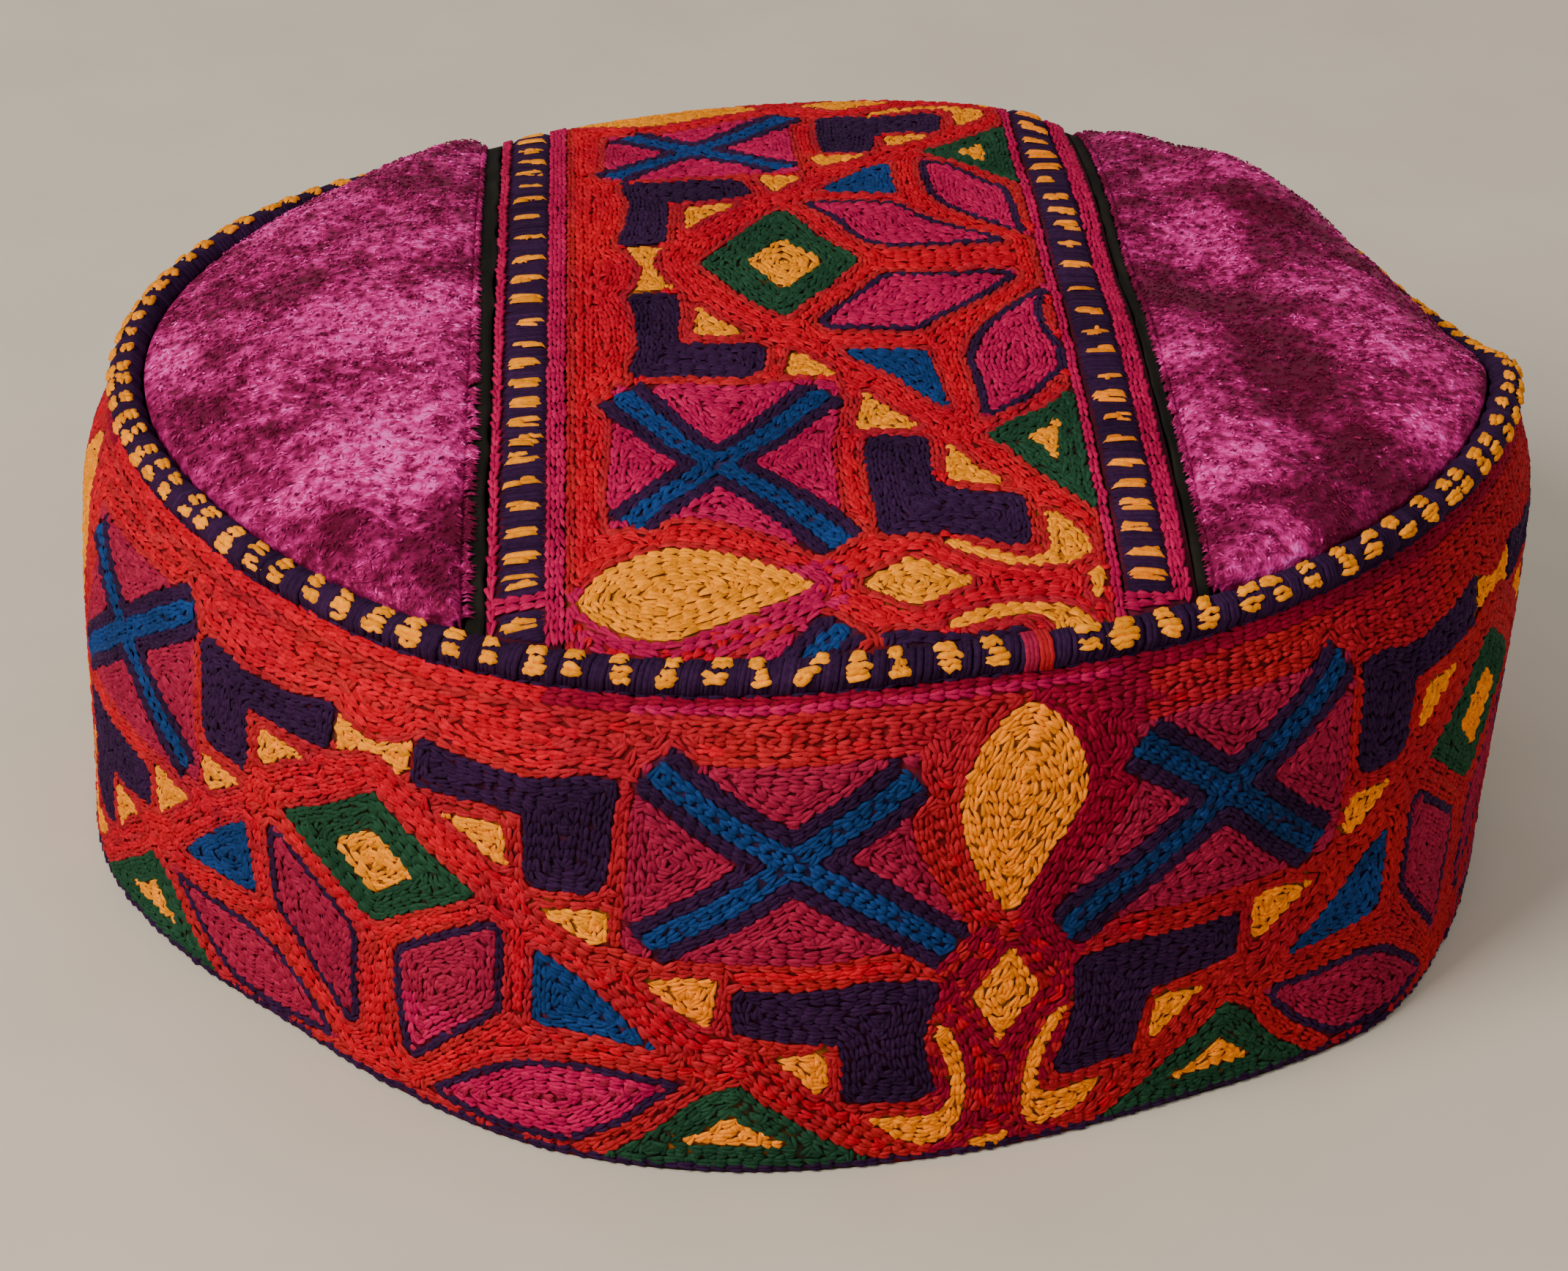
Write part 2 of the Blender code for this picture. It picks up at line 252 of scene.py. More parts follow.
def velvet_height(x, y, u):
    """Top face of a velvet panel, u from its straight seam to the rim."""
    z = crown_height(x, y) + VELVET_PUFF * np.sin(np.pi * np.clip(u, 0, 1) ** 0.8) ** 0.7
    for *ends, depth, reach in CREASE_TABLE:
        z = z - depth * np.exp(-((stretch_gap(x, y, *ends) / reach) ** 2))
    return z


def band_at(s, t):
    """Point of the wall by arc length from the leaf's axis and height, in chart millimetres."""
    return band_surface(LEAF_AZIMUTH + np.asarray(s) / BAND_ARC, np.asarray(t) / BAND_TOP)


def normals_of(surface, a, b, step=0.6):
    """Outward unit normals of a surface at chart points."""
    da = surface(a + step, b) - surface(a - step, b)
    db = surface(a, b + step) - surface(a, b - step)
    n = np.cross(da, db)
    return n / np.linalg.norm(n, axis=-1, keepdims=True)


def between(table, i, j, fu, fv):
    """Value between four neighbours of a table."""
    low = table[i, j] * (1 - fu) + table[i + 1, j] * fu
    high = table[i, j + 1] * (1 - fu) + table[i + 1, j + 1] * fu
    return low * (1 - fv) + high * fv


def value_noise(x, y, scale, seed):
    """Smooth random field from -1 to 1."""
    table = np.random.default_rng(seed).uniform(-1, 1, (NOISE_CELLS, NOISE_CELLS))
    table = np.pad(table, ((0, 1), (0, 1)), mode="wrap")
    u, v = np.asarray(x) / scale, np.asarray(y) / scale
    i, j = np.floor(u).astype(int), np.floor(v).astype(int)
    fu, fv = u - i, v - j
    fu, fv = fu * fu * (3 - 2 * fu), fv * fv * (3 - 2 * fv)
    return between(table, i % NOISE_CELLS, j % NOISE_CELLS, fu, fv)


# Materials
WAVE_TURN = 6.28


def connect(tree, node, inputs):
    """Sets a node's inputs: numbers, colours or the outputs of other nodes."""
    for key, value in inputs.items():
        if isinstance(value, bpy.types.NodeSocket):
            tree.links.new(value, node.inputs[key])
        else:
            node.inputs[key].default_value = value


def add_node(tree, kind, inputs, **settings):
    """A shader node with its settings and inputs."""
    node = tree.nodes.new("ShaderNode" + kind)
    for name, value in settings.items():
        setattr(node, name, value)
    connect(tree, node, inputs)
    return node


def start_material(name):
    """A new material with its node tree, shader and object coordinates."""
    material = bpy.data.materials.new(name)
    material.use_nodes = True
    tree = material.node_tree
    place = tree.nodes.new("ShaderNodeTexCoord").outputs["Object"]
    return material, tree, tree.nodes["Principled BSDF"], place


def noise(tree, place, scale, detail=2.0, roughness=0.5):
    """Noise at a number of waves per metre."""
    inputs = {"Vector": place, "Scale": scale, "Detail": detail, "Roughness": roughness}
    return add_node(tree, "TexNoise", inputs).outputs["Fac"]


def ramp(tree, source, stops):
    """Colour ramp on a value; each stop has a place and a colour or a grey."""
    node = add_node(tree, "ValToRGB", {"Fac": source})
    elements = node.color_ramp.elements
    while len(elements) < len(stops):
        elements.new(0.5)
    for element, (position, colour) in zip(elements, stops):
        element.position = position
        element.color = (*(colour if isinstance(colour, tuple) else (colour,) * 3), 1.0)
    return node.outputs["Color"]


def mix(tree, kind, factor, first, second):
    """Mixes two colours."""
    inputs = {"Factor": factor, 6: first, 7: second}
    return add_node(tree, "Mix", inputs, data_type="RGBA", blend_type=kind).outputs[2]


def maths(tree, operation, *values):
    """Arithmetic on numbers and outputs."""
    return add_node(tree, "Math", dict(enumerate(values)), operation=operation).outputs[0]


def attribute(tree, name, output):
    """A value that a mesh carries at its points."""
    return add_node(tree, "Attribute", {}, attribute_name=name).outputs[output]


def bump(tree, height, strength, distance):
    """Fine relief."""
    inputs = {"Height": height, "Strength": strength, "Distance": distance}
    return add_node(tree, "Bump", inputs).outputs["Normal"]


def thread_material(name, colour, second):
    """Fuzzy embroidery thread: lots of two dye shades, uneven plies and a tone for each strand."""
    material, tree, shader, place = start_material(name)
    plies = noise(tree, place, 1400.0, 3.0, 0.65)
    fibres = noise(tree, place, 5200.0, 3.0, 0.7)
    base = ramp(tree, noise(tree, place, 55.0), [(0.38, colour), (0.68, second)])
    tone = ramp(tree, plies, [(0.30, 0.70), (0.5, 0.98), (0.72, 1.22)])
    each = ramp(tree, attribute(tree, "tone", "Fac"), [(0.0, 0.78), (1.0, 1.16)])
    connect(tree, shader, {
        "Base Color": mix(tree, "MULTIPLY", 1.0, base, mix(tree, "MULTIPLY", 1.0, tone, each)),
        "Normal": bump(tree, fibres, 0.7, 0.00014),
        "Roughness": ramp(tree, fibres, [(0.3, 0.40), (0.7, 0.66)]),
        "Metallic": 0.14,
        "Specular IOR Level": 0.02,
        "Specular Tint": (*[part / max(colour) for part in colour], 1.0),
    })
    return material


def weave_material(name, colour, second, threads=900.0, depth=0.0001, sheen=0.0, backed=False):
    """Plain woven cloth: two sets of crossing threads with slubs; backed: coloured mostly by the colour each
    point carries, that of the threads over it darkened as painted shade.
    """
    material, tree, shader, place = start_material(name)
    wave = {"Vector": place, "Scale": threads / WAVE_TURN, "Distortion": 1.2, "Detail": 1.0}
    sets = [add_node(tree, "TexWave", wave, bands_direction=axis).outputs["Fac"] for axis in ("X", "Z")]
    crossing = maths(tree, "MULTIPLY", *sets)
    cloth = ramp(tree, noise(tree, place, 160.0, 4.0), [(0.35, colour), (0.7, second)])
    if backed:
        cloth = mix(tree, "MIX", 0.8, cloth, attribute(tree, "behind", "Color"))
    tone = ramp(tree, crossing, [(0.0, 0.55), (0.6, 1.0)])
    connect(tree, shader, {
        "Base Color": mix(tree, "MULTIPLY", 1.0, cloth, tone),
        "Normal": bump(tree, crossing, 0.7, depth),
        "Roughness": 0.9,
        "Specular IOR Level": 0.1,
        "Sheen Weight": sheen,
    })
    return material


def velvet_material(name, deep, middle, light, glint):
    """Crushed velvet: patches of nap that lean apart, given by the tone, lighter and darker as painted light
    and shade, with bright flecks and a glint colour for the lightest tone as painted highlights.
    """
    material, tree, shader, place = start_material(name)
    flecks = noise(tree, place, 640.0, 2.5, 0.6)
    mottle = noise(tree, place, 250.0, 3.0, 0.65)
    tone = attribute(tree, "tone", "Fac")
    grain = maths(tree, "MULTIPLY_ADD", flecks, 1.9, mottle)
    gain = maths(tree, "MULTIPLY_ADD", tone, 0.85, 0.55)
    level = maths(tree, "MULTIPLY_ADD", maths(tree, "SUBTRACT", grain, 1.45), gain, tone)
    spread = add_node(tree, "MapRange", {"Value": level, "From Min": -0.03, "From Max": 1.28})
    # From the deep colour of painted shade to the glint of painted highlight
    stops = [(0.10, deep), (0.37, middle), (0.76, light), (1.0, glint)]
    connect(tree, shader, {
        "Base Color": ramp(tree, spread.outputs["Result"], stops),
        "Normal": bump(tree, grain, 0.8, 0.0005),
        "Roughness": 0.42,
        "Metallic": 0.3,
        "Specular IOR Level": 0.05,
        "Specular Tint": (1.0, 0.20, 0.55, 1.0),
        "Sheen Weight": 0.03,
        "Sheen Roughness": 0.35,
        "Sheen Tint": (1.0, 0.25, 0.65, 1.0),
    })
    return material


# Dyes as linear colours: the usual shade and that of another lot of thread. The crimson is no dye of its own:
# a dark red that stands for painted shade, under the cord and beside the front leaf.
COLOURS = {
    "red": ((0.57, 0.004, 0.018), (0.47, 0.004, 0.022)),
    "brick": ((0.43, 0.017, 0.023), (0.34, 0.012, 0.026)),
    "crimson": ((0.28, 0.007, 0.028), (0.22, 0.007, 0.026)),
    "magenta": ((0.47, 0.008, 0.080), (0.36, 0.008, 0.058)),
    "rose": ((0.33, 0.014, 0.050), (0.27, 0.012, 0.044)),
    "yellow": ((1.0, 0.29, 0.0005), (0.92, 0.235, 0.0005)),
    "gold": ((0.92, 0.300, 0.0002), (0.84, 0.265, 0.0002)),
    "straw": ((0.96, 0.320, 0.0004), (0.88, 0.285, 0.0003)),
    "purple": ((0.034, 0.011, 0.046), (0.022, 0.008, 0.030)),
    "blue": ((0.013, 0.048, 0.185), (0.009, 0.034, 0.120)),
    "navy": ((0.010, 0.034, 0.120), (0.008, 0.026, 0.085)),
    "green": ((0.018, 0.062, 0.032), (0.013, 0.046, 0.024)),
}
THREADS = {dye: thread_material("thread_" + dye, *shades) for dye, shades in COLOURS.items()}
GROUND = weave_material("ground_cloth", (0.16, 0.007, 0.013), (0.10, 0.006, 0.012), backed=True)
LINING = weave_material("lining_cotton", (0.52, 0.42, 0.27), (0.42, 0.33, 0.20), 1300.0, sheen=0.1)
UNDER_LADDER = weave_material("ladder_ground", (0.10, 0.006, 0.020), (0.06, 0.005, 0.018))
SELVEDGE = weave_material("edging_cloth", (0.015, 0.013, 0.009), (0.008, 0.008, 0.006), 700.0, 0.0004)
VELVET = velvet_material(
    "crushed_velvet", (0.110, 0.006, 0.028), (0.27, 0.011, 0.084), (0.78, 0.036, 0.32), (1.0, 0.13, 0.60),
)


# Mesh building
def mesh_piece(name, verts, tris, materials, slot, face_material=None, strand=0, tone=None, behind=None):
    """One mesh object from arrays in millimetres, riding on the cap; strand: points in each strand."""
    verts = np.ascontiguousarray(np.asarray(verts, np.float64).reshape(-1, 3) * MM, np.float32)
    tris = np.ascontiguousarray(np.asarray(tris, np.int32).reshape(-1, 3))
    mesh = bpy.data.meshes.new(name)
    mesh.vertices.add(len(verts))
    mesh.vertices.foreach_set("co", verts.ravel())
    mesh.loops.add(tris.size)
    mesh.loops.foreach_set("vertex_index", tris.ravel())
    mesh.polygons.add(len(tris))
    mesh.polygons.foreach_set("loop_start", np.arange(0, tris.size, 3, dtype=np.int32))
    mesh.polygons.foreach_set("use_smooth", np.ones(len(tris), bool))
    for material in materials:
        mesh.materials.append(material)
    if face_material is not None:
        mesh.polygons.foreach_set("material_index", np.asarray(face_material, np.int32))
    if strand:
        tone = np.repeat(rng.uniform(0, 1, len(verts) // strand), strand)
    if tone is not None:
        mesh.attributes.new("tone", "FLOAT", "POINT").data.foreach_set("value", np.asarray(tone, np.float32))
    if behind is not None:
        colours = np.ascontiguousarray(np.column_stack([behind, np.ones(len(behind))]), np.float32)
        mesh.attributes.new("behind", "FLOAT_COLOR", "POINT").data.foreach_set("color", colours.ravel())
    mesh.update(calc_edges=True)
    mesh.validate()
    piece = bpy.data.objects.new(name, mesh)
    bpy.context.scene.collection.objects.link(piece)
    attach(piece, "root")
    return piece


def strand_arrays(path, up, radius, flat=0.85):
    """Arched strands: paths (n, m, 3), outward directions, radii (n, m); the ends are points."""
    n, m = path.shape[:2]
    up = np.broadcast_to(up, path.shape)
    along = np.gradient(path, axis=1)
    side = np.cross(along, up)
    side /= np.maximum(np.linalg.norm(side, axis=-1, keepdims=True), 1e-9)
    turns = np.radians([-105, -38, 38, 105])
    inner = path[:, 1:-1, None, :]
    r = radius[:, 1:-1, None, None]
    ring = inner + r * (np.sin(turns)[:, None] * side[:, 1:-1, None, :]
                        + flat * np.cos(turns)[:, None] * up[:, 1:-1, None, :])
    verts = np.concatenate([path[:, :1], ring.reshape(n, -1, 3), path[:, -1:]], 1)
    per = verts.shape[1]
    tris = []
    for k in range(3):
        tris.append((0, 1 + k, 2 + k))
        tris.append((per - 1, per - 4 + k, per - 5 + k))
        for i in range(m - 3):
            a = 1 + 4 * i + k
            tris.append((a, a + 4, a + 5))
            tris.append((a, a + 5, a + 1))
    tris = np.array(tris)[None] + (per * np.arange(n))[:, None, None]
    return verts.reshape(-1, 3), tris.reshape(-1, 3)


def joined(arrays):
    """One pair of arrays from several."""
    verts, tris, base = [], [], 0
    for v, t in arrays:
        verts.append(v)
        tris.append(t + base)
        base += len(v)
    return np.concatenate(verts), np.concatenate(tris)


# One leg of a chain stitch from its tail to its head, as shares of the stitch's length and width
LEG_ALONG = np.array([-0.78, -0.26, 0.27, 0.62])
LEG_OUT = np.array([0.02, 0.15, 0.29, 0.24])
LEG_LEAN = np.array([-1, -0.5, 0.6, 1])
LEG_RISE = np.array([-0.26, 0.03, 0.07, -0.22])
LEG_RADIUS = np.array([0.0, 0.235, 0.285, 0.0])
LEG_FLAT = 0.66
LEG_POINTS = 10
RISE_OF_LADDER_ROWS = -0.1
WIDTH_OF_LADDER_ROWS = 1.2


def stitch_piece(name, surface, rows, dye, slot, width=STITCH_WIDTH, raise_mm=0.0):
    """Chain stitches of one dye, each a link of two legs that open from its tail to its head."""
    n = len(rows)
    a, b, turn = (rows[:, column] + rng.normal(0, 0.07, n) for column in (0, 1, 2))
    normal = normals_of(surface, a, b)[:, None, :]
    cos, sin = np.cos(turn)[:, None], np.sin(turn)[:, None]
    lean = rng.normal(0, 0.05, (n, 1))
    plump = rng.uniform(0.82, 1.16, (n, 1))
    high = rng.normal(0, 0.045, (n, 1))
    legs = []
    for side in (-1, 1):
        u = LEG_ALONG * rows[:, 3:4]
        v = side * LEG_OUT * width + lean * LEG_LEAN * width
        rise = LEG_RISE * width * plump + raise_mm + high + rng.normal(0, 0.03, (n, 1))
        path = surface(a[:, None] + u * cos - v * sin, b[:, None] + u * sin + v * cos)
        path = path + rise[..., None] * normal
        legs.append(strand_arrays(path, normal, LEG_RADIUS * width * plump, LEG_FLAT))
    return mesh_piece(name, *joined(legs), [THREADS[dye]], slot, strand=LEG_POINTS)


def strand_piece(name, path, up, radius, dye, slot):
    """Single strands of one dye."""
    verts, tris = strand_arrays(path, up, radius)
    return mesh_piece(name, verts, tris, [THREADS[dye]], slot, strand=len(verts) // len(path))


# Chart of the half repeat: closed outlines in millimetres from the leaf's axis and the hem
def both_sides(points, axis=0.0):
    """Outline completed by its mirror image about an axis."""
    mirrored = [(2 * axis - d, t) for d, t in reversed(points) if abs(d - axis) > 0.01]
    return list(points) + mirrored


def bar(start, end, width):
    """Outline of a straight bar with pointed-square ends."""
    (x0, y0), (x1, y1) = start, end
    run = math.hypot(x1 - x0, y1 - y0)
    ux, uy = (x1 - x0) / run, (y1 - y0) / run
    px, py = -uy * 0.5 * width, ux * 0.5 * width
    return [(x0 + px, y0 + py), (x1 + px, y1 + py), (x1 - px, y1 - py), (x0 - px, y0 - py)]


LEAF = both_sides([
    (0, 67.5), (3, 65.5), (6, 62), (7.8, 57.5), (8, 54.5), (6.3, 49.5), (4, 44), (1.8, 40), (0, 37.5),
])
SMALL_DIAMOND = both_sides([(0, 32.5), (4.6, 25.5), (0, 17.3)])
HOOK = [(8.4, 21.8), (6.6, 20.8), (4.3, 15), (3.6, 10.5), (4, 6), (6, 2.8), (8.2, 2.6), (12, 4.2), (15.8, 8),
        (11.5, 8.1), (6.8, 7.9), (5.6, 10), (5.6, 12), (7.2, 17), (8.8, 20.6)]
CROSS_BOX = [(13, 62.6), (45.6, 63), (46, 60), (46, 35), (45, 34), (6.4, 34), (6, 38), (9, 43), (12.8, 49.8),
             (14, 54.5)]
CROSS_ARMS = [((44.3, 62.3), (7, 34)), ((13.8, 59.8), (43.2, 35.7))]
ARM_WIDTH = 7.4
CORE_WIDTH = 3.2
UPPER_HOOK = [(73, 61.5), (66, 60), (57.5, 59.3), (51, 60.8), (47.5, 60.5), (47.8, 55), (48, 45), (49.5, 43),
              (56.8, 42.8), (57.8, 44.5), (58, 53.8), (66, 53.8), (73, 54.2)]
LOWER_HOOK = [(32.5, 29.8), (22, 29.8), (9, 29.5), (8.3, 27.5), (9.3, 23), (9.8, 19.5), (9, 15.5),
              (7.5, 11.7), (9, 10.3), (19, 10.5), (19.6, 18.5), (20.5, 20.8), (32.5, 22.3)]
YELLOW_PATCHES = [
    [(69, 51.2), (60.5, 51.8), (59.8, 46), (61, 45), (65, 48.8)],
    [(56, 40), (47.5, 40.8), (47.3, 34.8), (48.8, 34.5)],
    [(43.3, 30.3), (37, 31.6), (34, 31.5), (34.5, 25), (35, 23.1)],
    [(28.8, 19), (21.5, 19.8), (21, 13.2), (22.2, 12), (25, 15.8)],
    both_sides([(79, 58.6), (77.5, 58.8), (73.6, 60.5), (73.8, 54.8), (77.5, 56.6), (79, 56.8)], 79.0),
    both_sides([(0, 2.6), (2.6, 3.2), (3.0, 1.4), (0, 0.9)]),
]
BLUE_TRIANGLE = [(56, 33.5), (56.6, 20.6), (40.3, 19.3), (44.5, 23.3), (52, 30.5)]
GREEN_TRIANGLE = [(13.5, 0.2), (20, 4.5), (28.5, 11), (32, 14.8), (36, 12), (41, 6), (48, 0.2)]
GREEN_TRIANGLE_HEART = [(24.5, 4.4), (30, 7), (32, 9.4), (35, 6.5), (38, 4.4)]
GREEN_DIAMOND = both_sides([(79, 50.5), (63.5, 39.5), (79, 28.5)], 79.0)
GREEN_DIAMOND_HEART = both_sides([(79, 44.5), (72.3, 39.4), (79, 33.5)], 79.0)
PETALS = [
    [(37, 14.8), (54, 15.2), (59, 13.3), (66, 8), (72, 3), (60, 1.6), (50.5, 2.3), (44.5, 6.8)],
    [(60.3, 35), (62, 36), (75, 26.3), (75.8, 24), (75, 8), (73.5, 7), (66.5, 14), (60.3, 21)],
]
CHART_STEP = 0.25
CHART_LOW = (-6.0, -6.0)
CHART_SIZE = (364, 328)


def outline_distance(points, x, y):
    """Distance from an outline, above zero inside it."""
    far = np.full(x.shape, 1e9)
    inside = np.zeros(x.shape, bool)
    for (x0, y0), (x1, y1) in zip(points, points[1:] + points[:1]):
        far = np.minimum(far, stretch_gap(x, y, x0, y0, x1, y1))
        crosses = (y0 > y) != (y1 > y)
        with np.errstate(divide="ignore", invalid="ignore"):
            inside ^= crosses & (x < x0 + (y - y0) * (x1 - x0) / (y1 - y0))
    return np.where(inside, far, -far)


def chart_fields():
    """Distance fields of each thread colour over the half repeat."""
    x = CHART_LOW[0] + CHART_STEP * np.arange(CHART_SIZE[0])
    y = CHART_LOW[1] + CHART_STEP * np.arange(CHART_SIZE[1])
    x, y = np.meshgrid(x, y, indexing="ij")
    dist = lambda points: outline_distance(points, x, y)
    most = lambda fields: np.max(np.stack(fields), 0)
    arms = most([dist(bar(a, b, ARM_WIDTH)) for a, b in CROSS_ARMS])
    cores = most([dist(bar(a, b, CORE_WIDTH)) for a, b in CROSS_ARMS])
    box = dist(CROSS_BOX)
    hooks = most([dist(UPPER_HOOK), dist(LOWER_HOOK)])
    leafy = most([dist(LEAF), dist(SMALL_DIAMOND), dist(HOOK)] + [dist(p) for p in YELLOW_PATCHES])
    hearts = most([dist(GREEN_TRIANGLE_HEART), dist(GREEN_DIAMOND_HEART)])
    greens = most([dist(GREEN_TRIANGLE), dist(GREEN_DIAMOND)])
    petals = most([dist(p) for p in PETALS])
    blue = dist(BLUE_TRIANGLE)
    covered = most([arms, box, hooks, leafy, greens, petals, blue])
    return {
        "yellow": most([leafy, hearts]),
        "blue": most([cores, blue]),
        "purple": most([np.minimum(arms, -cores), hooks]),
        "magenta": np.minimum(box, -arms),
        "green": np.minimum(greens, -hearts),
        "petals": petals,
        "ground": -covered,
        "leaf": dist(LEAF),
    }


FIELDS = chart_fields()


def sample(field, d, t):
    """Value of a chart field at points."""
    u = np.clip((d - CHART_LOW[0]) / CHART_STEP, 0, CHART_SIZE[0] - 1.001)
    v = np.clip((t - CHART_LOW[1]) / CHART_STEP, 0, CHART_SIZE[1] - 1.001)
    i, j = u.astype(int), v.astype(int)
    return between(field, i, j, u - i, v - j)


def folded(s):
    """Chart distance from the nearest leaf axis, for arc length s."""
    period = 2 * HALF_REPEAT
    return np.abs((np.asarray(s) + HALF_REPEAT) % period - HALF_REPEAT)


def iso_lines(field, level, a0, b0):
    """Polylines along which a gridded field has a value."""
    f = field - level
    f = np.where(f == 0, 1e-9, f)
    above = f > 0
    along_b = above[:, :-1] != above[:, 1:]
    along_a = above[:-1, :] != above[1:, :]
    ids_b = np.full(along_b.shape, -1)
    ids_a = np.full(along_a.shape, -1)
    count = int(along_b.sum())
    ids_b[along_b] = np.arange(count)
    ids_a[along_a] = count + np.arange(int(along_a.sum()))
    i, j = np.nonzero(along_b)
    k = f[i, j] / (f[i, j] - f[i, j + 1])
    first = np.stack([a0 + i * GRID_STEP, b0 + (j + k) * GRID_STEP], 1)
    i, j = np.nonzero(along_a)
    k = f[i, j] / (f[i, j] - f[i + 1, j])
    points = np.concatenate([first, np.stack([a0 + (i + k) * GRID_STEP, b0 + j * GRID_STEP], 1)])
    cells = np.stack([ids_b[:-1], ids_a[:, :-1], ids_b[1:], ids_a[:, 1:]], -1).reshape(-1, 4)
    used = (cells >= 0).sum(1)
    two, four = cells[used == 2], cells[used == 4]
    near = [[] for _ in range(len(points))]
    for p, q in np.concatenate([two[two >= 0].reshape(-1, 2), four[:, :2], four[:, 2:]]).tolist():
        near[p].append(q)
        near[q].append(p)
    seen = np.zeros(len(points), bool)
    lines = []
    for start in [p for p in range(len(points)) if len(near[p]) == 1] + list(range(len(points))):
        if seen[start]:
            continue
        line, onward = [], [start]
        while onward:
            here = onward[0]
            seen[here] = True
            line.append(here)
            onward = [q for q in near[here] if not seen[q]]
        if len(line) > 3 and start in near[here]:
            line.append(start)
        if len(line) > 1:
            lines.append(points[line])
    return lines


def stitches_on(lines):
    """Stitches laid evenly along polylines: points, directions and lengths."""
    out = [np.zeros((0, 4))]
    for points in lines:
        if len(points) > 6:
            soft = points.copy()
            soft[1:-1] = 0.25 * points[:-2] + 0.5 * points[1:-1] + 0.25 * points[2:]
            points = soft
        gaps = np.hypot(*np.diff(points, axis=0).T)
        run = np.concatenate([[0], np.cumsum(gaps)])
        if run[-1] < SHORTEST_LINE:
            continue
        count = max(1, int(round(run[-1] / STITCH)))
        each = run[-1] / count
        at = (np.arange(count) + 0.5) * each + rng.normal(0, 0.06, count) * each
        at = np.clip(at, 0, run[-1])
        before, after = np.clip(at - 0.5 * each, 0, None), np.clip(at + 0.5 * each, None, run[-1])
        a0, b0 = np.interp(before, run, points[:, 0]), np.interp(before, run, points[:, 1])
        a1, b1 = np.interp(after, run, points[:, 0]), np.interp(after, run, points[:, 1])
        turn = np.arctan2(b1 - b0, a1 - a0)
        if rng.random() < 0.5:
            turn = turn + np.pi
        a = 0.5 * (a0 + a1) + rng.normal(0, 0.05, count)
        b = 0.5 * (b0 + b1) + rng.normal(0, 0.05, count)
        length = np.full(count, each) * rng.uniform(0.98, 1.12, count)
        out.append(np.stack([a, b, turn, length], 1))
    return np.concatenate(out)


def straight_row(a, b):
    """Stitches along a straight line of the chart; one of the two is a run of places."""
    run = np.stack(np.broadcast_arrays(np.asarray(a, float), np.asarray(b, float)), 1)
    return np.pad(stitches_on([run]), ((0, 0), (0, 1)))


def rows_in(field, a0, b0):
    """Stitches in rows that follow a region's outline inwards, and the row of each."""
    rows = [np.zeros((0, 5))]
    highest = float(field.max())
    k = 0
    while (k + 0.5) * ROW < highest:
        found = stitches_on(iso_lines(field, (k + 0.5) * ROW, a0, b0))
        rows.append(np.column_stack([found, np.full(len(found), k)]))
        k += 1
    return np.concatenate(rows)


class Cover:
    """Which part of a charted area the stitches already hide."""

    def __init__(self, a0, b0, a1, b1):
        self.a0, self.b0 = a0, b0
        self.grid = np.zeros((int((a1 - a0) / COVER_STEP) + 2, int((b1 - b0) / COVER_STEP) + 2), bool)
        k = int(COVER_REACH / COVER_STEP) + 1
        near = range(-k, k + 1)
        self.disc = [(i, j) for i in near for j in near if math.hypot(i, j) * COVER_STEP <= COVER_REACH]

    def add(self, stitches):
        """Marks what stitches hide."""
        for part in (-0.45, -0.15, 0.15, 0.45):
            a = stitches[:, 0] + part * stitches[:, 3] * np.cos(stitches[:, 2])
            b = stitches[:, 1] + part * stitches[:, 3] * np.sin(stitches[:, 2])
            i = np.round((a - self.a0) / COVER_STEP).astype(int)
            j = np.round((b - self.b0) / COVER_STEP).astype(int)
            for di, dj in self.disc:
                ii = np.clip(i + di, 0, self.grid.shape[0] - 1)
                jj = np.clip(j + dj, 0, self.grid.shape[1] - 1)
                self.grid[ii, jj] = True

    def fill(self, field_at):
        """Extra stitches where a region is still bare, laid along its rows."""
        i, j = np.nonzero(~self.grid)
        a, b = self.a0 + i * COVER_STEP, self.b0 + j * COVER_STEP
        inside = field_at(a, b) > BARE_MARGIN
        i, j, a, b = i[inside], j[inside], a[inside], b[inside]
        ga = field_at(a + GRID_STEP, b) - field_at(a - GRID_STEP, b)
        gb = field_at(a, b + GRID_STEP) - field_at(a, b - GRID_STEP)
        extra = np.column_stack([a, b, np.arctan2(-ga, gb), np.full(len(a), EXTRA_STITCH), np.ones(len(a))])
        kept = []
        for k in rng.permutation(len(a)):
            if not self.grid[i[k], j[k]]:
                kept.append(k)
                self.add(extra[k:k + 1])
        return extra[kept]


def steps(low, high):
    """Even places from low to high."""
    return np.arange(low, high + GRID_STEP, GRID_STEP)


def lay_rows(field_of, area, within, dyes_of, extra_dyes_of):
    """Stitches in rows over every region of an area, then extra ones where it is bare, by dye."""
    a0, b0, a1, b1 = area
    a_grid, b_grid = np.meshgrid(steps(a0, a1), steps(b0, b1), indexing="ij")
    cover = Cover(*area)
    laid = {dye: [np.zeros((0, 5))] for dye in COLOURS}
    for key in REGIONS:
        rows = rows_in(field_of(key)(a_grid, b_grid), a0, b0)
        rows = rows[within(rows)]
        cover.add(rows)
        for dye, chosen in dyes_of(key, rows).items():
            laid[dye].append(rows[chosen])
    for key in REGIONS:
        extra = cover.fill(field_of(key))
        extra = extra[within(extra)]
        for dye, chosen in extra_dyes_of(key, extra).items():
            laid[dye].append(extra[chosen])
    return laid


# Unrolled band: the chart with the wobble of hand work, then rows of each dye
BACK = math.pi * BAND_ARC
SIDE_PART = 2 * HALF_REPEAT
ALL = slice(None)
BAND_DYES = {"petals": "rose", "magenta": "rose", "ground": "brick"}


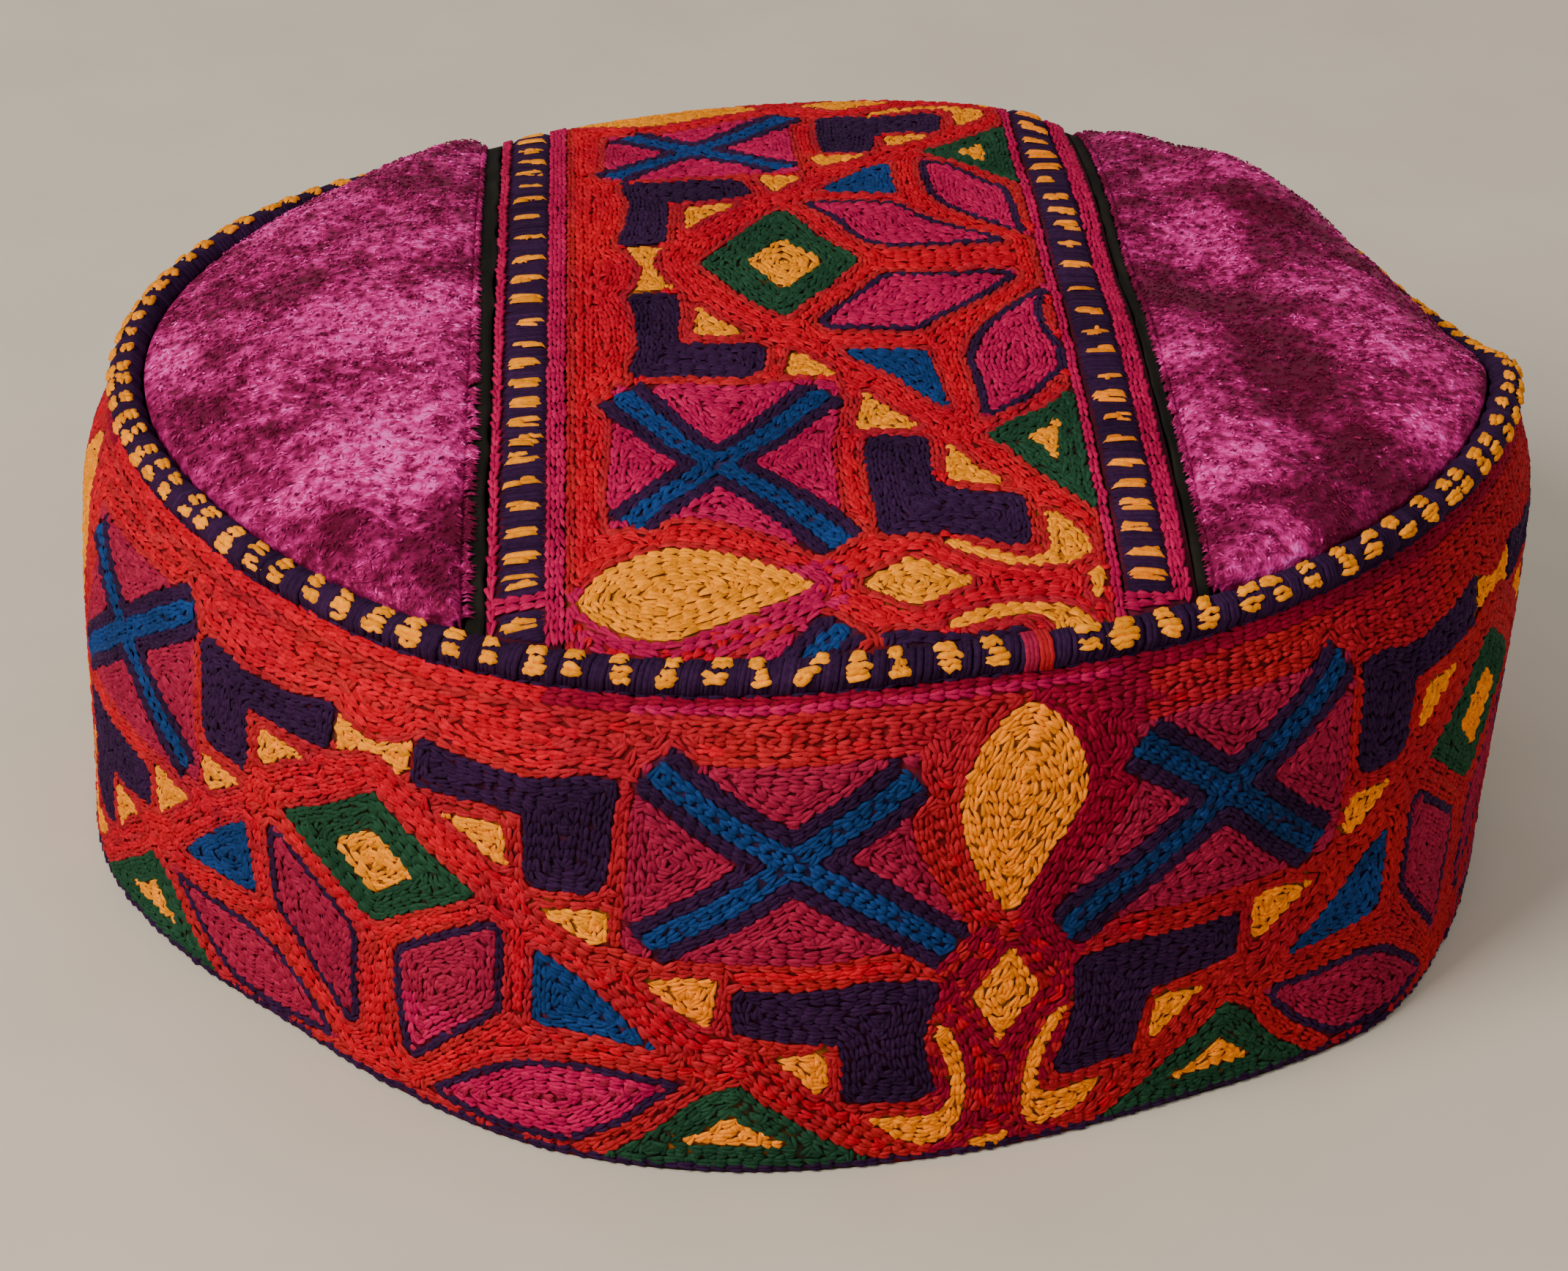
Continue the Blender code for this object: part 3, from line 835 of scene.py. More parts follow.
def band_chart(s, t):
    """Chart point of the band, with the wobble of work done by hand."""
    s = np.asarray(s, float)
    far = np.abs(s)
    # Behind the side leaves the repeat closes with two half crosses at the seam
    rest = BACK - SIDE_PART
    along = (far - SIDE_PART) * ((HALF_REPEAT + 53.5) / rest)
    behind = np.where(along < HALF_REPEAT, along, 2 * HALF_REPEAT - along)
    d = np.where(far > SIDE_PART, behind, folded(s))
    lean = 1.5 * np.exp(-((t - 48) / 9.0) ** 2) * np.exp(-((s + 3) / 9.0) ** 2)
    d = np.where(far < 30, np.abs(s + lean), d)
    wobble = 0.55 * value_noise(s, t, 9.0, 3) + 0.5 * value_noise(s, t, 23.0, 4)
    rise = 0.5 * value_noise(s, t, 8.0, 5) + 0.6 * value_noise(s, t, 26.0, 6)
    return d + wobble, t + rise * np.clip((70 - t) / 10, 0, 1) * np.clip(t / 8, 0, 1)


def band_field(key):
    """A colour's field over the unrolled band, cut at the hem and under the cord."""
    def value(s, t):
        d, u = band_chart(s, t)
        f = sample(FIELDS[key], d, u)
        return np.minimum(f, np.minimum(t - 1.15, 68.6 - t))
    return value


def band_dyes(key, rows):
    """Which dye each stitch of a region has on the band."""
    s, t, first = rows[:, 0], rows[:, 1], rows[:, 4] == 0
    if key == "petals":
        low = (t < 18) & (np.abs(s + 53) < 24)
        return {"purple": first, "magenta": ~first & low, "rose": ~first & ~low}
    if key == "ground":
        front = np.clip((s + 62) / 14, 0, 1) * np.clip((t - 25) / 20, 0.35, 1)
        right_side = np.clip((s - 12) / 10, 0, 1)
        share = np.maximum(0.85 * front, 0.92 * right_side) * np.clip((150 - s) / 25, 0, 1) + 0.08
        close = first | (rng.random(len(rows)) < share)
        # Right of and below the front leaf the ground turns crimson: painted shade.
        right_of_leaf = (s > 1) & (s < 15) & (t > 34)
        below_leaf = (np.abs(s) < 9) & (t < 36) & (rng.random(len(rows)) < 0.6)
        dark = right_of_leaf | below_leaf
        return {"crimson": dark, "brick": close & ~dark, "red": ~close & ~dark}
    if key == "yellow":
        rows[:, 2] += rng.normal(0, 0.18, len(rows))
    golden = (key == "yellow") & (np.abs(s + 105) < 62)
    dim = (key == "blue") & (np.abs(s - 32) < 24) & (t > 28)
    return {"gold": golden, "navy": dim, BAND_DYES.get(key, key): ~golden & ~dim}


def band_extra_dyes(key, rows):
    """The same for the extra stitches."""
    # Right of the front leaf the bare spots get crimson as well: painted shade.
    shaded = (key == "ground") & (rows[:, 0] > 0) & (rows[:, 0] < 17) & (rows[:, 1] > 33)
    return {"crimson": shaded, BAND_DYES.get(key, key): ~shaded}


laid = lay_rows(band_field, (-BACK, 0.0, BACK, BAND_TOP), lambda rows: ALL, band_dyes, band_extra_dyes)

# Straight rows: magenta and crimson under the cord, dark along the hem. The crimson is painted shadow of the
# cord; on the left side, where the light falls, the rows are red instead.
s_axis = steps(-BACK, BACK)
for key, height in (("magenta", 69.2), ("crimson", 70.2), ("purple", 71.1)):
    rows = straight_row(s_axis, height)
    run = rows[:, 0]
    bright = (run < -58) & (run > -150) & (key != "purple")
    own = (run > -48) & (run < 12) if key == "magenta" else ~bright
    laid[key].append(rows[own])
    laid["red"].append(rows[bright])
    laid["crimson"].append(rows[~own & ~bright])
laid["purple"].append(straight_row(s_axis, 1.0))

for dye, groups in laid.items():
    rows = np.concatenate(groups)
    rows = rows[np.argsort(rows[:, 0], kind="stable")]
    if len(rows):
        stitch_piece(f"band_stitches_{dye}", band_at, rows, dye, "band_embroidery")


# Cloth slabs
def grid_tris(rows, columns, wrap=False, flip=False):
    """Triangles of a grid of points."""
    ids = np.arange(rows * columns).reshape(rows, columns)
    if wrap:
        ids = np.concatenate([ids, ids[:1]])
    a, b, c, d = (part.ravel() for part in (ids[:-1, :-1], ids[:-1, 1:], ids[1:, 1:], ids[1:, :-1]))
    tris = np.concatenate([np.stack([a, b, c], 1), np.stack([a, c, d], 1)])
    return tris[:, ::-1] if flip else tris


def cloth_slab(name, top, bottom, materials, slot, wrap=False, flip=False, tone=None, behind=None):
    """Closed cloth from its two faces, outer face first material, inner face second."""
    rows, columns = top.shape[:2]
    verts = np.concatenate([top.reshape(-1, 3), bottom.reshape(-1, 3)])
    base = rows * columns
    outer = grid_tris(rows, columns, wrap, flip)
    inner = grid_tris(rows, columns, wrap, not flip) + base
    ids = np.arange(base).reshape(rows, columns)
    if wrap:
        loops = [(ids[:, 0], np.roll(ids[:, 0], -1)), (np.roll(ids[:, -1], -1), ids[:, -1])]
    else:
        edge = np.concatenate([ids[0], ids[1:, -1], ids[-1, -2::-1], ids[-2:0:-1, 0]])
        loops = [(np.roll(edge, -1), edge)]
    sides = []
    for a, b in loops:
        quad = np.concatenate([np.stack([a, b, b + base], 1), np.stack([a, b + base, a + base], 1)])
        sides.append(quad[:, ::-1] if flip else quad)
    sides = np.concatenate(sides)
    tris = np.concatenate([outer, inner, sides])
    last = len(materials) - 1
    which = np.concatenate([np.zeros(len(outer)), np.full(len(inner), last), np.zeros(len(sides))])
    return mesh_piece(name, verts, tris, materials, slot, which, tone=tone, behind=behind)


def thread_shade_behind(field_of, a, b):
    """Colour of the ground cloth behind the stitches, for both of its faces: that of the threads over it,
    halved as painted shade in the gaps between them.
    """
    best = np.argmax(np.stack([field_of(key)(a, b) for key in REGIONS]), 0).ravel()
    table = np.array([COLOURS[BAND_DYES.get(key, key)][0] for key in REGIONS])
    return np.tile(table[best] * 0.5, (2, 1))


azimuths = 2 * np.pi * np.arange(BAND_COLUMNS) / BAND_COLUMNS
az_grid, h_grid = np.meshgrid(azimuths, np.linspace(0, 1, BAND_ROWS), indexing="ij")
run_grid = wrapped(az_grid - LEAF_AZIMUTH) * BAND_ARC
band_cloth = cloth_slab(
    "band_cloth",
    band_surface(az_grid, h_grid, BAND_DROP),
    band_surface(az_grid, h_grid, BAND_THICKNESS),
    [GROUND, LINING],
    "band_embroidery",
    wrap=True,
    behind=thread_shade_behind(band_field, run_grid, h_grid * BAND_TOP),
)
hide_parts("side_band")


def rim_end(across, side):
    """Where a line of the strip meets the crown's edge."""
    y = side * np.sqrt(np.maximum(0.0, RIM_RADIUS ** 2 - across ** 2))
    for _ in range(8):
        x = across + STRIP_SLANT * y
        y = side * np.sqrt(np.maximum(0.01, rim_reach(x, y) ** 2 - x * x))
    return y


def crown_slab(name, left, right, columns, lift, materials, slot, drop=0.0, field_of=None, sway=0.0):
    """Cloth between two lines of the crown, from rim to rim; sway: how far its lines waver."""
    across = np.linspace(left + 0.5 * GAP, right - 0.5 * GAP, columns)
    front, back = rim_end(across, -1), rim_end(across, 1)
    y = front + (back - front) * np.linspace(0, 1, STRIP_ROWS)[:, None]
    across = across + sway * value_noise(y, y * 0 + left, 3.5, 51)
    top = crown_surface(across, y, lift - drop)
    bottom = crown_surface(across, y, lift - CROWN_THICKNESS)
    behind = thread_shade_behind(field_of, across, y) if field_of else None
    return cloth_slab(name, top, bottom, materials, slot, flip=True, behind=behind)


for name, left, right in (
    ("ladder_left", EDGING_LEFT, STRIP_LEFT),
    ("ladder_right", STRIP_RIGHT, EDGING_RIGHT),
):
    cloths = [UNDER_LADDER, LINING]
    piece = crown_slab(
        name + "_cloth", left, right, BORDER_COLUMNS, BORDER_LIFT, cloths, "border_thread", LADDER_DROP,
    )
    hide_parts(name)
for name, left, right in (
    ("edging_left", SEAM_LEFT, EDGING_LEFT),
    ("edging_right", EDGING_RIGHT, SEAM_RIGHT),
):
    cloths = [SELVEDGE, LINING]
    piece = crown_slab(
        name + "_tape", left, right, BORDER_COLUMNS, 0.0, cloths, "edging_tape", TAPE_DROP, sway=TAPE_SWAY,
    )
    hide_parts(name)

# Crown strip: the same chart, turned so that its hem side lies to the right
STRIP_ORIGIN_X = 30.5
STRIP_NARROW = 0.93
STRIP_LEAN = 2.8
STRIP_HALF = 95.0
# Place along the strip and chart length there: the repeat was drawn by hand
STRIP_RUN = [
    (-96, -22), (-84, -9), (-74, 0), (-64, 9), (-59, 14), (-48, 26), (-45, 31), (-36, 41), (-28, 48),
    (-21, 56), (-12, 64), (-4, 72), (5, 79), (22, 94), (42, 115), (51, 130), (60, 142), (75, 158), (96, 178),
]

# Where the hand drawing of the strip strays: across, along, and the shift of the chart there
STRIP_STRAY = [
    (-26, -30, -1.5, 0.5), (2, -31, -3.0, 2.0), (-27, -59, 1.5, -1.0), (14, -37, -1.5, 2.0),
    (21, -64, 3.0, 1.0), (2, -19, -1.0, 2.5), (11, 1, -1.5, 2.5), (28, 6, -4.0, 3.5), (-4, 6, 0.0, 1.5),
    (0, 26, -2.0, 2.5), (-24, -8, 1.0, 1.0), (30, -32, -1.5, 2.5), (2, -70, 1.0, 0.5), (-12, -49, 1.5, 0.5),
]
STRAY_REACH = 8.0


def strip_chart(across, y):
    """Chart point of the crown strip."""
    t = (STRIP_ORIGIN_X - across) / STRIP_NARROW
    s = np.interp(y, [row[0] for row in STRIP_RUN], [row[1] for row in STRIP_RUN])
    s = s + STRIP_LEAN * np.clip((52 - t) / 30, 0, 1) * np.clip((-14 - y) / 12, 0, 1)
    total, move_s, move_t = 0.12, 0.0, 0.0
    for place_x, place_y, ds, dt in STRIP_STRAY:
        weight = np.exp(-((across - place_x) ** 2 + (y - place_y) ** 2) / STRAY_REACH ** 2)
        total, move_s, move_t = total + weight, move_s + weight * ds, move_t + weight * dt
    s, t = s + move_s / total, t + move_t / total
    wobble = 0.35 * value_noise(across, y, 10.0, 13)
    rise = 0.3 * value_noise(across, y, 8.0, 15)
    return folded(s) + wobble, t + rise * np.clip((69 - t) / 10, 0, 1)


def on_crown(rows):
    """Which stitches keep clear of the rim."""
    x = rows[:, 0] + STRIP_SLANT * rows[:, 1]
    return rim_reach(x, rows[:, 1]) - np.hypot(x, rows[:, 1]) > EDGE_ROOM


def strip_field(key):
    """A colour's field over the crown strip."""
    def value(across, y):
        sides = np.minimum(across - STRIP_LEFT - 0.2, STRIP_RIGHT - 1.5 - across)
        return np.minimum(sample(FIELDS[key], *strip_chart(across, y)), sides)
    return value


def strip_dyes(key, rows):
    """Which dye each stitch of a region has on the strip."""
    first = rows[:, 4] == 0
    if key == "petals":
        return {"purple": first, "magenta": ~first}
    if key == "ground":
        leaf = sample(FIELDS["leaf"], *strip_chart(rows[:, 0], rows[:, 1]))
        rosy = (leaf > -4.2) & (rows[:, 1] < -72)
        return {"magenta": rosy, "brick": first & ~rosy, "red": ~first & ~rosy}
    return {key: ALL}


def strip_extra_dyes(key, rows):
    """The same for the extra stitches."""
    return {{"petals": "magenta", "ground": "red"}.get(key, key): ALL}


strip_cloth = crown_slab(
    "strip_cloth", STRIP_LEFT, STRIP_RIGHT, STRIP_COLUMNS, 0.0, [GROUND, LINING], "strip_embroidery",
    STRIP_DROP, strip_field,
)
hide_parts("crown_strip")
strip_area = (STRIP_LEFT, -STRIP_HALF, STRIP_RIGHT, STRIP_HALF)
strip_laid = lay_rows(strip_field, strip_area, on_crown, strip_dyes, strip_extra_dyes)
y_axis = steps(-STRIP_HALF, STRIP_HALF)
edge_rows = straight_row(STRIP_RIGHT - 0.75, y_axis)
strip_laid["magenta"].append(edge_rows[on_crown(edge_rows)])
for key, groups in strip_laid.items():
    rows = np.concatenate(groups)
    dye = "gold" if key == "yellow" else key
    if len(rows):
        name = f"strip_stitches_{key}"
        stitch_piece(name, crown_surface, rows, dye, "strip_embroidery")

# Ladders: rungs of satin stitch between rows of chain stitch
LADDERS = {
    "left": {
        "rungs": (-41.4, -36.0), "rows": (-42.2, -35.3, -34.2), "ends": (-71.0, 88.0),
        "yellow": (-76.4, -69.5, -65, -60, -54.5, -50, -45, -41, -37, -32, -27, -22.5, -17.5, -11, -4, 2.5, 9,
                   16.5, 25, 32, 38.5, 45, 51, 57.5, 63.5, 70, 76, 82),
        "close": (-72.2, -73.4), "tip": (-81.0, -74.4),
    },
    "right": {
        "rungs": (32.3, 37.6), "rows": (38.2, 39.3), "ends": (-79.0, 88.0),
        "yellow": (-76.5, -72, -67, -62, -57.5, -52.5, -46.5, -41, -35.5, -30, -23, -17, -11, -2.5, 6.5, 13.5,
                   19.5, 25, 30, 38, 44, 50.5, 57, 63, 69.5, 76, 82),
        "close": (-80.1, -81.2, -82.3, -83.4), "tip": (-90.0, -90.0),
    },
}
SATIN_STEP = 0.5
SATIN_POINTS = 7
YELLOW_HALF = 0.82
LADDER_REACH = 87.6
# Height and radius of the satin threads
SATIN = {"yellow": (0.66, 0.37), "purple": (0.25, 0.36)}


def border_surface(across, y):
    """Point of the ladders' face."""
    return crown_surface(across, y, BORDER_LIFT)


def ladder_rungs(side, key, y, wide, x0, x1):
    """Satin threads of one dye, with ragged ends where they are yellow."""
    n = len(y)
    k = np.linspace(0, 1, SATIN_POINTS)[None]
    high, radius = SATIN[key]
    ragged = np.full((2, n), -0.25)
    if key == "yellow":
        short = rng.random((2, n)) < 0.16
        ragged = np.abs(rng.normal(0, 0.4, (2, n))) + short * rng.uniform(0.8, 2.4, (2, n))
    start = np.maximum(x0 + ragged[0], -wide)[:, None]
    stop = np.minimum(x1 - ragged[1], wide)[:, None]
    across = start + (stop - start) * k
    along = y[:, None] + rng.normal(0, 0.2, (n, 1)) * (k - 0.5) * 2
    bulge = np.sqrt(np.clip(1 - (2 * k - 1) ** 4, 0, 1))
    lift = high * bulge - 0.55 + rng.normal(0, 0.05, (n, 1))
    lift = lift - (key == "yellow") * rng.uniform(0, 0.32, (n, SATIN_POINTS)) * (rng.random((n, 1)) < 0.6)
    normal = normals_of(border_surface, across, along)
    path = border_surface(across, along) + lift[..., None] * normal
    radius = radius * bulge * rng.uniform(0.85, 1.2, (n, 1))
    dye = "gold" if (side, key) == ("left", "yellow") else key
    return strand_piece(f"rungs_{side}_{key}", path, normal, radius, dye, "border_thread")


for side, spec in LADDERS.items():
    y = np.concatenate([np.arange(*spec["tip"], SATIN_STEP), np.arange(*spec["ends"], SATIN_STEP)])
    y = y + rng.normal(0, 0.07, len(y))
    near = np.min(np.abs(y[:, None] - np.array(spec["yellow"])[None]), 1)
    golden = near < YELLOW_HALF + rng.normal(0, 0.24, len(y))
    x0, x1 = spec["rungs"]
    wide = np.sqrt(np.maximum(1.0, LADDER_REACH ** 2 - y ** 2))
    keep = np.minimum(x1 - x0, wide - min(abs(x0), abs(x1))) > 1.2
    yellow, dark = [
        ladder_rungs(side, key, y[chosen], wide[chosen], x0, x1)
        for key, chosen in (("yellow", keep & golden), ("purple", keep))
    ]
    x_run = np.arange(x0 - 0.6, x1 + 0.7, 0.3)
    rows = [straight_row(across, y_axis) for across in spec["rows"]]
    rows = np.concatenate(rows + [straight_row(x_run, close_y) for close_y in spec["close"]])
    name = f"ladder_rows_{side}"
    rows = rows[on_crown(rows)]
    width, rise = WIDTH_OF_LADDER_ROWS, RISE_OF_LADDER_ROWS
    plain = stitch_piece(name, border_surface, rows, "magenta", "border_thread", width, rise)

# Rim cord: dark satin wraps with paired yellow blocks
WRAP_STEP = 0.5
BLOCK_PITCH = 5.3
BLOCK_LENGTH = 3.3
CORD_JOIN = math.radians(11.6)
JOIN_ROOM = 2.4
WRAP_POINTS = 8


def cord_normal(azimuth, turn):
    """Outward direction on the cord, turn from straight outward (0) to up (a quarter turn)."""
    return np.stack([np.cos(turn) * np.sin(azimuth), -np.cos(turn) * np.cos(azimuth), np.sin(turn)], -1)


def cord_at(azimuth, turn, out=0.0):
    """Point on the cord or a little out of it."""
    return np.stack(rim(azimuth), -1) + (CORD_RADIUS + out) * cord_normal(azimuth, turn) + SHIFT


core_az = 2 * np.pi * np.arange(CORE_STEPS) / CORE_STEPS
core_turn = 2 * np.pi * np.arange(CORE_SIDES + 1) / CORE_SIDES
core_points = cord_at(*np.meshgrid(core_az, core_turn, indexing="ij"), -0.45)
core_tris = grid_tris(CORE_STEPS, CORE_SIDES + 1, True)
core = mesh_piece("piping_core", core_points, core_tris, [THREADS["purple"]], "piping_cord")
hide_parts("rim_piping")


def wraps_at(name, az, dye, out, thick, slant=0.9):
    """Strands wound round the cord at given azimuths."""
    n = len(az)
    k = np.linspace(0, 1, WRAP_POINTS)[None]
    turn = np.radians(-85 + 335 * k) + 0 * az[:, None]
    az_path = az[:, None] + rng.normal(slant, 0.3, (n, 1)) / RIM_RADIUS * (k - 0.5)
    radius = thick * np.sin(np.pi * k) ** 0.3 * rng.uniform(0.86, 1.16, (n, 1))
    strand_piece(name, cord_at(az_path, turn, out), cord_normal(az_path, turn), radius, dye, "piping_cord")


rim_run = 2 * math.pi * RIM_RADIUS
count = int(rim_run / WRAP_STEP)
az = 2 * np.pi * (np.arange(count) + rng.normal(0, 0.15, count)) / count
blocks = int(round(rim_run / BLOCK_PITCH))
block_az = 2 * np.pi * (np.arange(blocks) + 0.5 + rng.normal(0, 0.06, blocks)) / blocks
apart = np.abs(wrapped(az[:, None] - block_az[None])).min(1) * RIM_RADIUS
raised = apart > 0.5 * BLOCK_LENGTH
wraps_at("piping_wraps", az[~raised], "purple", -0.32, 0.36)
ridge_az = az[raised] + rng.normal(0, 0.12, raised.sum()) / RIM_RADIUS
wraps_at("piping_ridges", ridge_az, "purple", -0.12, 0.42, 1.3)
join_az = CORD_JOIN + np.array([-1.5, -1.0, -0.45, 0.1, 0.65, 1.15]) / RIM_RADIUS
wraps_at("piping_join_magenta", join_az[:3], "rose", 0.05, 0.40, 0.2)
wraps_at("piping_join_red", join_az[3:], "brick", 0.12, 0.42, -0.2)

strands = []
for centre in block_az[np.abs(wrapped(block_az - CORD_JOIN)) * RIM_RADIUS >= JOIN_ROOM]:
    size = BLOCK_LENGTH * rng.uniform(0.85, 1.15)
    twist = rng.normal(0, 0.3)
    lower = 3 if rng.random() < 0.55 else 2
    for middle, strands_in, share in ((84, 2, rng.uniform(0.7, 1.0)), (29, lower, 1.0)):
        slide = rng.normal(0, 0.28)
        taper = rng.uniform(-0.25, 0.25)
        for n in range(strands_in):
            turn_deg = middle + (n - 0.5 * (strands_in - 1)) * 18.5 + rng.normal(0, 2.0)
            length = size * share * (1 + taper * (n - 0.5)) * rng.uniform(0.72, 1.1)
            offset = slide + twist * (turn_deg - 48) / 45 + rng.normal(0, 0.14)
            place = centre + offset / RIM_RADIUS
            strands.append((math.radians(turn_deg), length, place, rng.uniform(0.37, 0.52)))
turns, lengths, centres, thick = np.array(strands).T[..., None]
k = np.linspace(-0.5, 0.5, SATIN_POINTS)[None]
some = (len(strands), SATIN_POINTS)
az_path = centres + lengths / RIM_RADIUS * k
turn = turns + np.radians(rng.normal(0, 4.0, some))
bulge = np.sqrt(np.clip(1 - (2 * k) ** 4, 0, 1))
rise = 0.5 * bulge - 0.5 + rng.normal(0, 0.05, some)
outward = cord_normal(az_path, turn)
path = cord_at(az_path, turn, 0.14) + rise[..., None] * outward
radius = thick * bulge ** 0.6 * rng.uniform(0.85, 1.15, some)
strand_piece("piping_blocks", path, outward, radius, "straw", "piping_cord")

# Velvet panels
DARKEST_NAP = -0.2


def panel_ends(side, edge):
    """Azimuths where a panel narrows to its points."""
    ends = []
    for end in (-1, 1):
        low, high = 0.0, 0.5 * math.pi
        for _ in range(40):
            middle = 0.5 * (low + high)
            rx, ry, rz = rim(np.array(side * (0.5 * math.pi + end * middle)), CORD_RADIUS + GAP)
            if side * (rx - edge - STRIP_SLANT * ry) > 1.2:
                low = middle
            else:
                high = middle
        ends.append(side * (0.5 * math.pi + end * low))
    return ends


# Lie of the crushed nap in plan, with its painted light and shade: place, reach and how much lighter
NAP_LIGHT_AND_SHADE = [
    (-62, -43, 9, 0.32), (-55, -43, 7, 0.28), (-58, -11, 11, 0.24), (-66, -3, 6, 0.10), (-54, -32, 7, 0.18),
    (-86, -6, 4, 0.26), (-75, 37, 6, 0.24), (-66, 40, 4, 0.14), (-44, -67, 4, 0.24), (-53, 17, 5, 0.12),
    (-69, -42, 4.5, -0.34), (-80, -7, 4.5, -0.24), (-71, 7, 6, -0.24), (-52, 42, 9, -0.24),
    (-49, -58, 6, -0.30), (-62, -58, 6, -0.26), (-54, -68, 5, -0.20), (-81, -22, 5, -0.18),
    (-53, 4, 4, -0.10), (-72, -33, 4, -0.12),
    (44, -56, 5, 0.30), (48, -61, 4, 0.20), (53, 15, 6, 0.16), (76, -20, 10, 0.14), (74, -43, 8, 0.18),
    (52, -72, 4, 0.26), (45, -25, 4, 0.16), (71, -1, 10, 0.10), (67, -25, 7, 0.10), (62, 40, 6, 0.10),
    (66, 25, 5, -0.38), (74, 16, 4, -0.30), (60, 31, 4, -0.30), (55, -8, 6, -0.32), (58, -31, 7, -0.38),
    (62, -48, 6, -0.40), (53, -64, 5, -0.34), (46, -5, 4, -0.34), (66, -56, 4, -0.28), (45, 20, 4, -0.22),
    (56, -20, 4, -0.20), (52, -42, 4, -0.16), (48, 5, 5, -0.16), (60, -66, 4, -0.2), (44, -38, 3, -0.1),
]


def nap_light_and_shade(x, y):
    """How light the nap looks at a plan point, about 0 to 1: patches of the crushed nap made lighter and
    darker as painted light and shade, and the right panel a little darker.
    """
    tone = 0.55 - 0.06 * (x > 0) + 0.13 * value_noise(x, y, 8.0, 31) + 0.13 * value_noise(x, y, 3.6, 32)
    x, y = x + 2.2 * value_noise(x, y, 5.0, 35), y + 2.2 * value_noise(x, y, 5.0, 36)
    for px, py, reach, amount in NAP_LIGHT_AND_SHADE:
        tone = tone + amount * np.exp(-((x - px) ** 2 + (y - py) ** 2) / reach ** 2)
    tone = np.clip(0.5 + 1.1 * (tone - 0.5), 0, 1)
    return tone * tone * (3 - 2 * tone)


def velvet_face(x, y, u):
    """Height of a panel's crushed face, u from its straight seam to the rim."""
    crush = 0.40 * value_noise(x, y, 9.0, 31) + 0.25 * value_noise(x, y, 4.2, 32)
    crush = crush + 0.12 * value_noise(x, y, 1.8, 33)
    return velvet_height(x, y, u) + crush * np.sin(np.pi * u) ** 0.4


def velvet_point(side, edge, x, y):
    """Point of a panel's face."""
    azimuth = np.arctan2(x, -y)
    for _ in range(4):
        rx, ry, rz = rim(azimuth, CORD_RADIUS + GAP)
        azimuth = azimuth - (ry - y) / np.where(side * rx > 20.0, rx, side * 20.0)
    sx = edge + STRIP_SLANT * y
    u = np.clip((x - sx) / np.where(np.abs(rx - sx) > 0.5, rx - sx, side * 0.5), 0, 1)
    return np.stack([x, y, velvet_face(x, y, u)], -1) + SHIFT


def tuft_piece(name, path, up, swell, nap, uneven, lightest):
    """Tufts of pile, thickest at their middle, with a tone about that of the nap, which carries its painted
    light and shade.
    """
    n = len(path)
    radius = np.array([0.0, swell, 0.0]) * rng.uniform(0.7, 1.4, (n, 1))
    verts, tris = strand_arrays(path, up, radius)
    tone = np.clip(nap + uneven * rng.normal(0, 1.0, n), DARKEST_NAP, lightest)
    return mesh_piece(name, verts, tris, [VELVET], "velvet", tone=np.repeat(tone, len(verts) // n))


def velvet_tufts(name, side, seam, count):
    """Short tufts of pile that lean in patches."""
    edge = seam + side * 0.5 * GAP
    x = side * rng.uniform(abs(seam) - 3, 94, count)
    y = rng.uniform(-82, 82, count)
    sx = edge + STRIP_SLANT * y
    keep = (np.hypot(x, y) < rim_reach(x, y, 0.7)) & (side * (x - sx) > 0.5)
    x, y = x[keep], y[keep]
    n = len(x)
    lie = math.radians(-100) + 0.9 * value_noise(x, y, 11.0, 41) + 0.7 * value_noise(x, y, 3.5, 42)
    lie = (lie + rng.normal(0, 0.6, n))[:, None]
    along = rng.uniform(0.7, 1.6, (n, 1)) * np.array([-0.5, 0.1, 0.5])
    px, py = x[:, None] + np.cos(lie) * along, y[:, None] + np.sin(lie) * along
    face = lambda fx, fy: velvet_point(side, edge, fx, fy)
    normal = normals_of(face, px, py)
    normal = normal * np.sign(normal[..., 2:])
    rise = np.array([-0.1, 0.12, 0.18]) + rng.uniform(-0.05, 0.12, (n, 1))
    nap = nap_light_and_shade(x, y)
    path = face(px, py) + rise[..., None] * normal
    return tuft_piece(name, path, normal, 0.17, nap, 0.10 + 0.22 * nap, 1.5)


def seam_pile(name, side, seam, count, front_reach):
    """Pile that spills from a panel's straight seam over the edging tape."""
    y = rng.uniform(-81, 81, count)
    reach = (0.5 + (front_reach - 0.5) * np.clip(0.4 - y / 60, 0, 1)) * rng.uniform(0.5, 1.4, count)
    foot = seam + side * 0.5 * GAP + STRIP_SLANT * y + side * 0.35
    inside = np.hypot(foot, y) < rim_reach(foot, y, 0.8)
    y, reach, foot = y[inside], reach[inside], foot[inside]
    n = len(y)
    k = np.array([0.0, 0.5, 1.0])
    px = foot[:, None] - side * (reach[:, None] + 0.35) * k
    py = y[:, None] + rng.normal(-0.3, 0.35, (n, 1)) * k
    pz = crown_height(px, py) + np.array([0.15, 0.50, 0.16]) + rng.uniform(-0.06, 0.08, (n, 1))
    path = np.stack([px, py, pz], -1) + SHIFT
    # The pile over the seam is darker than the nap beside it: painted shade along the seam.
    return tuft_piece(name, path, np.array([0.0, 0.0, 1.0]), 0.26, nap_light_and_shade(foot, y) - 0.12, 0.12, 1.2)


